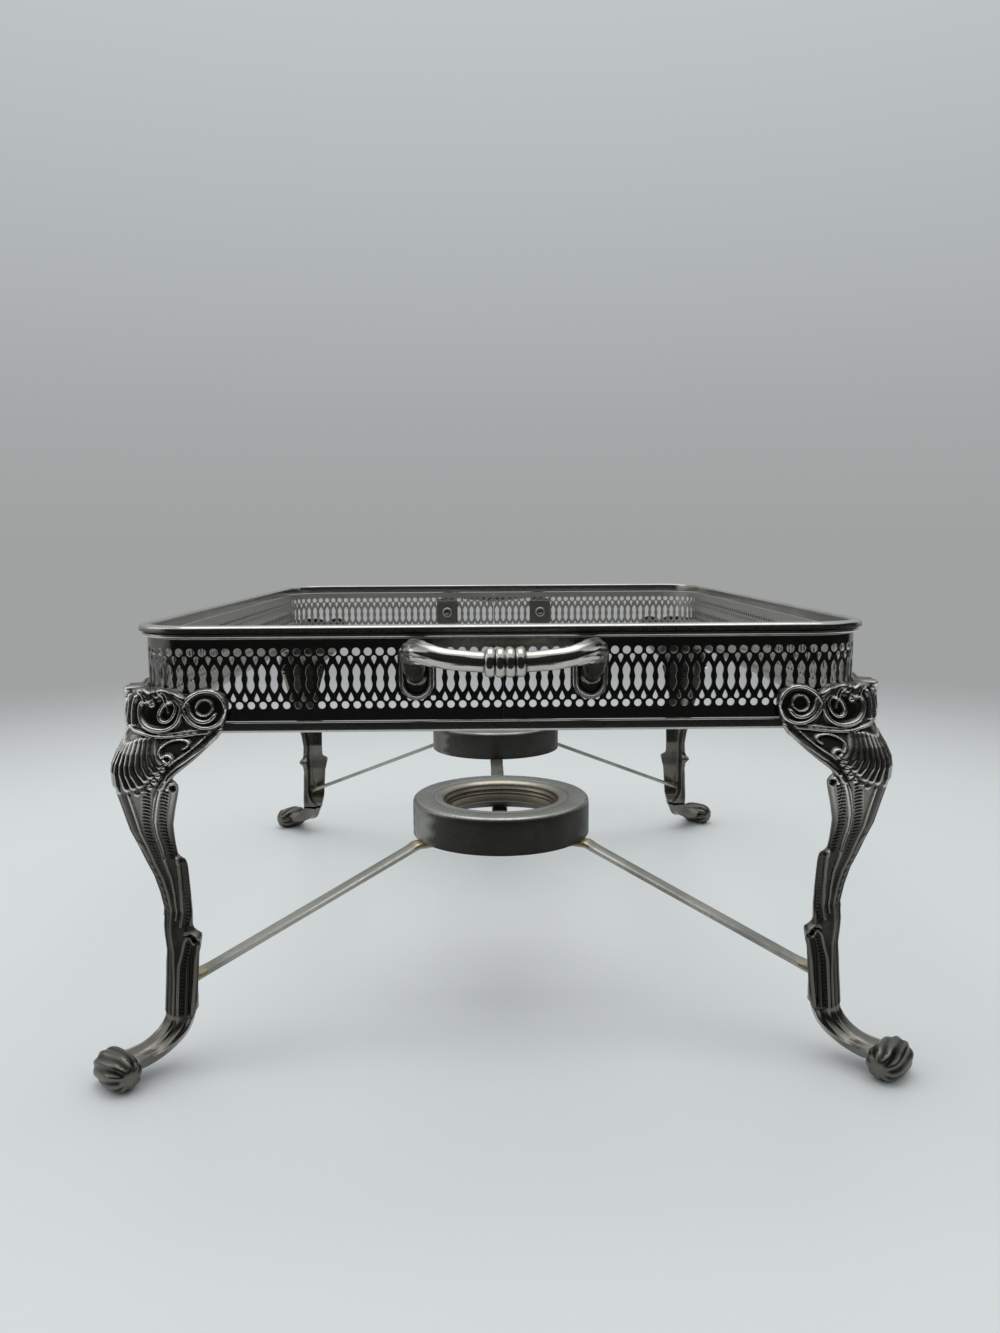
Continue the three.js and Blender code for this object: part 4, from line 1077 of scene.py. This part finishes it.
# Middle line of half a handle, as [sideways, distance, rise] points. The first list starts from
# the stud on the shield, the second from the stud's line and the middle of the bar.
ARM_NEAR_SHIELD = [(0, 0, 0), (0, 2.5, 0.3), (0.3, 7, 3.6), (0.3, 12.5, 8.6)]
ARM_NEAR_BAR = [(-0.8, -8, 3), (-4.6, -4, 2.6), (-11.6, -1.5, 1.2), (-21.6, -0.3, 0.3)]
HALF_LINE = [(STUD_X + x, ARM_START + y, STUD_HEIGHT + z) for x, y, z in ARM_NEAR_SHIELD] \
    + [(STUD_X + x, HANDLE_OUT + y, BAR_Z + z) for x, y, z in ARM_NEAR_BAR]
BEAD_WIDTH = 3.35
BEADS = 4
BEAD_NECK = 3.75
BEAD_SWELL = 1.35
# Distances from the middle of the bar where the leaf on it starts and is full
LEAF_FROM = 21.0
LEAF_FULL = 29.0
# Round collar on the shield, as [radius, distance from the shield]
COLLAR = [(3, 0), (3.75, 0.1), (3.9, 0.45), (3.65, 0.85), (2.7, 2.3), (2.2, 2.6)]
STUD_END = END_FACE - 6.0
ROUND_STEPS = 36


def handle_line():
    """Evenly spaced points along the handle's middle line, from stud to stud."""
    half = np.array(HALF_LINE)
    other_half = half[::-1] * np.array([-1, 1, 1])
    line = smooth_line(np.vstack([half, [(0, HANDLE_OUT, BAR_Z)], other_half]), 40)
    along = lengths_along(line)
    even = np.linspace(0, along[-1], 470)
    return even, np.stack([np.interp(even, along, line[:, i]) for i in range(3)], axis=-1)


def handle_body():
    even, line = handle_line()
    tangent = directions(line)
    sideways = np.cross(tangent, [0, 0, 1])
    sideways /= np.linalg.norm(sideways, axis=1)[:, None]
    upwards = np.cross(sideways, tangent)
    middle = np.abs(even - even[-1] / 2)
    s, angle = np.meshgrid(middle, full_turn(64), indexing="ij")
    from_root = even[-1] / 2 - s

    bead_reach = BEADS * BEAD_WIDTH / 2
    in_beads = s < bead_reach
    phase = (s % BEAD_WIDTH) / BEAD_WIDTH
    bead = BEAD_NECK + BEAD_SWELL * np.sqrt(np.clip(1 - (2 * phase - 1) ** 2 * 0.97, 0, 1))
    plain = BAR_RADIUS + 0.6 * smooth_step(s, 20.0, 36.0)
    plain -= 1.3 * falling(from_root, 2.0, 10.0)
    radius = np.where(in_beads, bead, plain)

    ragged = 3.0 * np.abs(np.sin(2.5 * angle))
    leaf = smooth_step(s - ragged, LEAF_FROM, LEAF_FULL)
    streaks = np.abs(np.cos(4.5 * angle + 0.09 * s + 0.3 * np.sin(s / 2.6)))
    waves = np.cos(2 * math.pi * (s / 5.0 + 0.16 * np.cos(4 * angle)))
    soft = smooth_step(from_root, 10.0, 17.0)
    relief = leaf * soft * (0.5 * streaks ** 0.6 - 0.15 + 0.14 * waves * streaks)
    veins = (1 - leaf) * ~in_beads * smooth_step(s, 9.0, 15.0)
    relief += 0.05 * veins * np.cos(9 * angle + 0.3 * np.sin(s / 3.0))
    radius = radius + relief
    crease = in_beads * np.clip(1 - np.minimum(phase, 1 - phase) / 0.09, 0, 1)
    # Painted shade on the arms near the shield and on the upper side of the bar's ends; darker lines
    # in the leaf's grooves, in the creases between the beads and where the beads meet the bar
    hollow = np.maximum.reduce([
        1.5 * leaf * np.clip(0.5 - streaks, 0, 1),
        0.98 * falling(from_root, 17.0, 25.0),
        0.9 * smooth_step(s, 23.0, 31.0) * smooth_step(np.sin(angle), 0.35, 0.75),
        0.85 * crease,
        0.75 * np.exp(-((s - bead_reach - 0.2) / 0.35) ** 2),
    ])
    points = line[:, None, :] + sideways[:, None, :] * (radius * np.cos(angle))[..., None] \
        + upwards[:, None, :] * (radius * np.sin(angle))[..., None]
    points[..., 1] = np.maximum(points[..., 1], ARM_START)
    body = Body()
    body.tube(points, hollow=hollow)

    stud = [(0.9, STUD_END), (STUD_RADIUS, STUD_END + 0.2), (STUD_RADIUS, ARM_START + 2.0)]
    collar = [(r, ARM_START + y) for r, y in COLLAR]
    # Painted shade on the collar's top and sides; its lower edge is left pale
    shade = 0.95 - 0.95 * smooth_step(-np.sin(full_turn(ROUND_STEPS)), 0.0, 0.7)
    for x in (-STUD_X, STUD_X):
        body.tube(circles(stud, ROUND_STEPS, x, STUD_HEIGHT), hollow=0.3)
        body.tube(circles(collar, ROUND_STEPS, x, STUD_HEIGHT), hollow=np.tile(shade, len(collar)))
    return body


# The shield under each arm and the plate and nut inside, about the stud, facing +Y
SHIELD_HALF = (SHIELD_HIGH[0] - SHIELD_LOW[0]) / 2
SHIELD_TOP = SHIELD_HIGH[2] - STUD_HEIGHT
SHIELD_BOTTOM = SHIELD_LOW[2] - STUD_HEIGHT


def shield_outline(inset):
    half = SHIELD_HALF - inset
    centre = SHIELD_BOTTOM + SHIELD_HALF
    low = [(half * math.cos(a), centre + half * math.sin(a))
           for a in np.linspace(math.pi, 2 * math.pi, 18)]
    top = SHIELD_TOP - inset
    sides = np.linspace(centre, top, 8)[1:]
    right = [(half, z) for z in sides]
    across = [(x, top) for x in np.linspace(half, -half, 10)[1:]]
    left = [(-half, z) for z in sides[::-1][1:]]
    return low + right + across + left


# From a shield's back to the middle of its front: distance in from its edge, rise and how dark painted
# shade makes it
SHIELD_LAYERS = [
    (0, 0, 0), (0, 1.2, 0), (0.2, 1.55, 0), (0.55, 1.55, 0.1), (0.8, 1.25, 0.6),
    (1, 1.3, 0.3), (1.08, 1.6, 0), (1.25, 1.85, 0), (1.5, 1.93, 0), (1.75, 1.85, 0),
    (1.92, 1.6, 0), (2, 1.3, 0.3), (2.2, 1, 1), (3.4, 0.95, 0.9), (5.4, 0.95, 0.9),
]


def shield_body():
    """A shield with a raised border line and a sunk ground darkened by painted shade."""
    rows, dark = [], []
    for inset, rise, shade in SHIELD_LAYERS:
        rows.append([(x, rise, z) for x, z in shield_outline(inset)])
        dark += [shade] * len(rows[-1])
    body = Body()
    body.tube(rows, hollow=np.array(dark), rubbed=1.0)
    return body


BACKING_LOW, BACKING_HIGH = frame_box("backing_rear_right")
BACKING_HALF = (BACKING_HIGH - BACKING_LOW) / 2
BACKING_CORNER = 1.2
# From a plate's front to the middle of its inner face: distance in from its edge, place along Y
# and how dark
BACKING_LAYERS = [(0, 0, 0), (0, -0.8, 0), (0.3, -1.1, 0), (0.8, -1.1, 0.1),
                  (0.9, -1, 0.3), (1.15, -1, 0.15)]


def plate_body():
    """The square plate inside the gallery, with soft edges."""
    rows, dark = [], []
    for inset, y, shade in BACKING_LAYERS:
        radius = BACKING_CORNER - inset
        loop = []
        for side_x, side_z, start in ((1, 1, 0), (-1, 1, 90), (-1, -1, 180), (1, -1, 270)):
            x = side_x * (BACKING_HALF[0] - BACKING_CORNER)
            z = side_z * (BACKING_HALF[2] - BACKING_CORNER)
            loop += [(x + radius * math.cos(a), y, z + radius * math.sin(a))
                     for a in np.radians(np.linspace(start, start + 90, 6))]
        rows.append(loop)
        dark += [shade] * len(loop)
    body = Body()
    body.tube(rows, hollow=np.array(dark))
    return body


# Half of a nut's section: radius, place along Y and how dark
NUT_PROFILE = [(1.7, 0, 0.5), (3.4, 0, 0.2), (3.4, -1.2, 0), (3.25, -1.8, 0),
               (2.85, -2.25, 0), (2.4, -2.4, 0), (1.95, -2.2, 0.4), (1.7, -1.7, 0.8)]


def nut_body():
    profile = [(r, y) for r, y, _ in NUT_PROFILE]
    dark = [shade for _, _, shade in NUT_PROFILE]
    body = Body()
    body.tube(circles(profile, ROUND_STEPS), closed=True, hollow=np.repeat(dark, ROUND_STEPS),
              rubbed=0.5)
    return body


handle = handle_body()
shield, plate, nut = shield_body(), plate_body(), nut_body()
for end, turn in (("rear", 0.0), ("front", math.pi)):
    make_piece(handle.turned(turn), handled, f"handle_{end}", 50)
    for side, sign in (("left", -1), ("right", 1)):
        x = sign * STUD_X if end == "rear" else -sign * STUD_X
        for kind, part, y, material, slot in (
            ("shield", shield, SHIELD_LOW[1], cast, "cast_silver"),
            ("backing", plate, BACKING_HIGH[1], dull, "dull_metal"),
            ("nut", nut, NUT_HIGH[1], dull, "dull_metal"),
        ):
            placed = part.moved(x, y, STUD_HEIGHT).turned(turn)
            make_piece(placed, material, f"{kind}_{end}_{side}", 45)


# Studio

def stage_material(name, colour, roughness):
    material = bpy.data.materials.new(name)
    material.use_nodes = True
    shader = material.node_tree.nodes["Principled BSDF"]
    shader.inputs["Base Color"].default_value = (*colour, 1.0)
    shader.inputs["Roughness"].default_value = roughness
    return material


def sheet(name, low, high, material):
    """A flat rectangle between two opposite corners. It lies level or stands upright."""
    (x0, y0, z0), (x1, y1, z1) = low, high
    if z0 == z1:
        corners = [(x0, y0, z0), (x1, y0, z0), (x1, y1, z0), (x0, y1, z0)]
    else:
        corners = [(x0, y0, z0), (x1, y1, z0), (x1, y1, z1), (x0, y0, z1)]
    mesh = bpy.data.meshes.new(name)
    mesh.from_pydata(corners, [], [[0, 1, 2, 3]])
    mesh.materials.append(material)
    made = bpy.data.objects.new(name, mesh)
    bpy.context.scene.collection.objects.link(made)
    made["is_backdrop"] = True
    return made


floor_material = stage_material("floor_sheet", (0.76, 0.775, 0.78), 0.5)


def fade_out(material, solid_at, gone_at):
    """Lets a sheet thin out from one distance from the middle to another, in metres."""
    tree = material.node_tree
    place = add_node(tree, "TexCoord", "Object", {})
    length = add_node(tree, "VectorMath", "Value", {0: place}, operation="LENGTH")
    share = add_node(tree, "MapRange", "Result",
                     {"Value": length, "From Min": solid_at, "From Max": gone_at,
                      "To Min": 1.0, "To Max": 0.0}, interpolation_type="SMOOTHSTEP")
    tree.links.new(share, tree.nodes["Principled BSDF"].inputs["Alpha"])


fade_out(floor_material, 0.3, 1.1)
sheet("floor", (-6, -6, 0), (6, 6, 0), floor_material)

# Dark cards in front of the stand, seen only by its reflections, as the dark room was. The left
# one thins out towards the stand.
black = stage_material("dark_card", (0.008, 0.008, 0.008), 0.9)
thin_black = stage_material("thin_dark_card", (0.008, 0.008, 0.008), 0.9)
fade_out(thin_black, 1.42, 1.1)
CARD_FRONT = -0.95
for name, low, high, material in (
    ("upright", (-1.6, CARD_FRONT, 0.0), (1.6, CARD_FRONT, 0.95), black),
    ("right", (1.1, CARD_FRONT, 0.0), (1.1, 0.35, 0.8), black),
    ("left", (-1.1, CARD_FRONT, 0.0), (-1.1, 0.0, 0.8), thin_black),
    ("low", (-1.6, CARD_FRONT, 0.002), (1.6, -0.34, 0.002), black),
):
    card = sheet(f"card_{name}", low, high, material)
    card.visible_camera = False
    card.visible_diffuse = False
    card.visible_shadow = False
    card.visible_transmission = False


def area_light(name, place, target, size, power):
    data = bpy.data.lights.new(name, "AREA")
    data.shape = "RECTANGLE"
    data.size, data.size_y = size
    data.energy = power
    lamp = bpy.data.objects.new(name, data)
    lamp.location = place
    direction = Vector(target) - Vector(place)
    lamp.rotation_euler = direction.to_track_quat("-Z", "Y").to_euler()
    bpy.context.scene.collection.objects.link(lamp)


area_light("top_light", (0.0, 0.1, 1.5), (0, 0, 0), (1.4, 1.2), 6.5)
area_light("left_light", (-1.5, -0.1, 0.9), (0, 0, 0.1), (1.0, 1.0), 3.5)

# The world is a pale tent that grows brighter upwards
WORLD_LEVELS = [(0, (0.35, 0.362, 0.36)), (0.12, (0.38, 0.395, 0.395)),
                (0.35, (0.48, 0.51, 0.515)), (1, (0.8, 0.83, 0.84))]
world = bpy.data.worlds.new("studio")
bpy.context.scene.world = world
world.use_nodes = True
tree = world.node_tree
direction = add_node(tree, "TexCoord", "Generated", {})
upwards = add_node(tree, "SeparateXYZ", "Z", {"Vector": direction})
level = add_node(tree, "ValToRGB", "Color", {"Fac": upwards})
ramp = level.node.color_ramp.elements
for element, (at, colour) in zip([ramp[0], ramp[1]], [WORLD_LEVELS[0], WORLD_LEVELS[-1]]):
    element.position = at
    element.color = (*colour, 1.0)
for at, colour in WORLD_LEVELS[1:-1]:
    ramp.new(at).color = (*colour, 1.0)
tree.links.new(level, tree.nodes["Background"].inputs["Color"])

camera_data = bpy.data.cameras.new("camera")
camera_data.lens = CAMERA_LENS
camera_data.sensor_width = 36.0
camera_data.clip_start = 0.01
camera_data.clip_end = 20.0
camera = bpy.data.objects.new("camera", camera_data)
camera.location = CAMERA_PLACE
camera.rotation_euler = (math.pi / 2 - CAMERA_PITCH, CAMERA_ROLL, CAMERA_YAW)
bpy.context.scene.collection.objects.link(camera)
bpy.context.scene.camera = camera
bpy.context.scene.view_settings.view_transform = "Standard"

low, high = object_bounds()
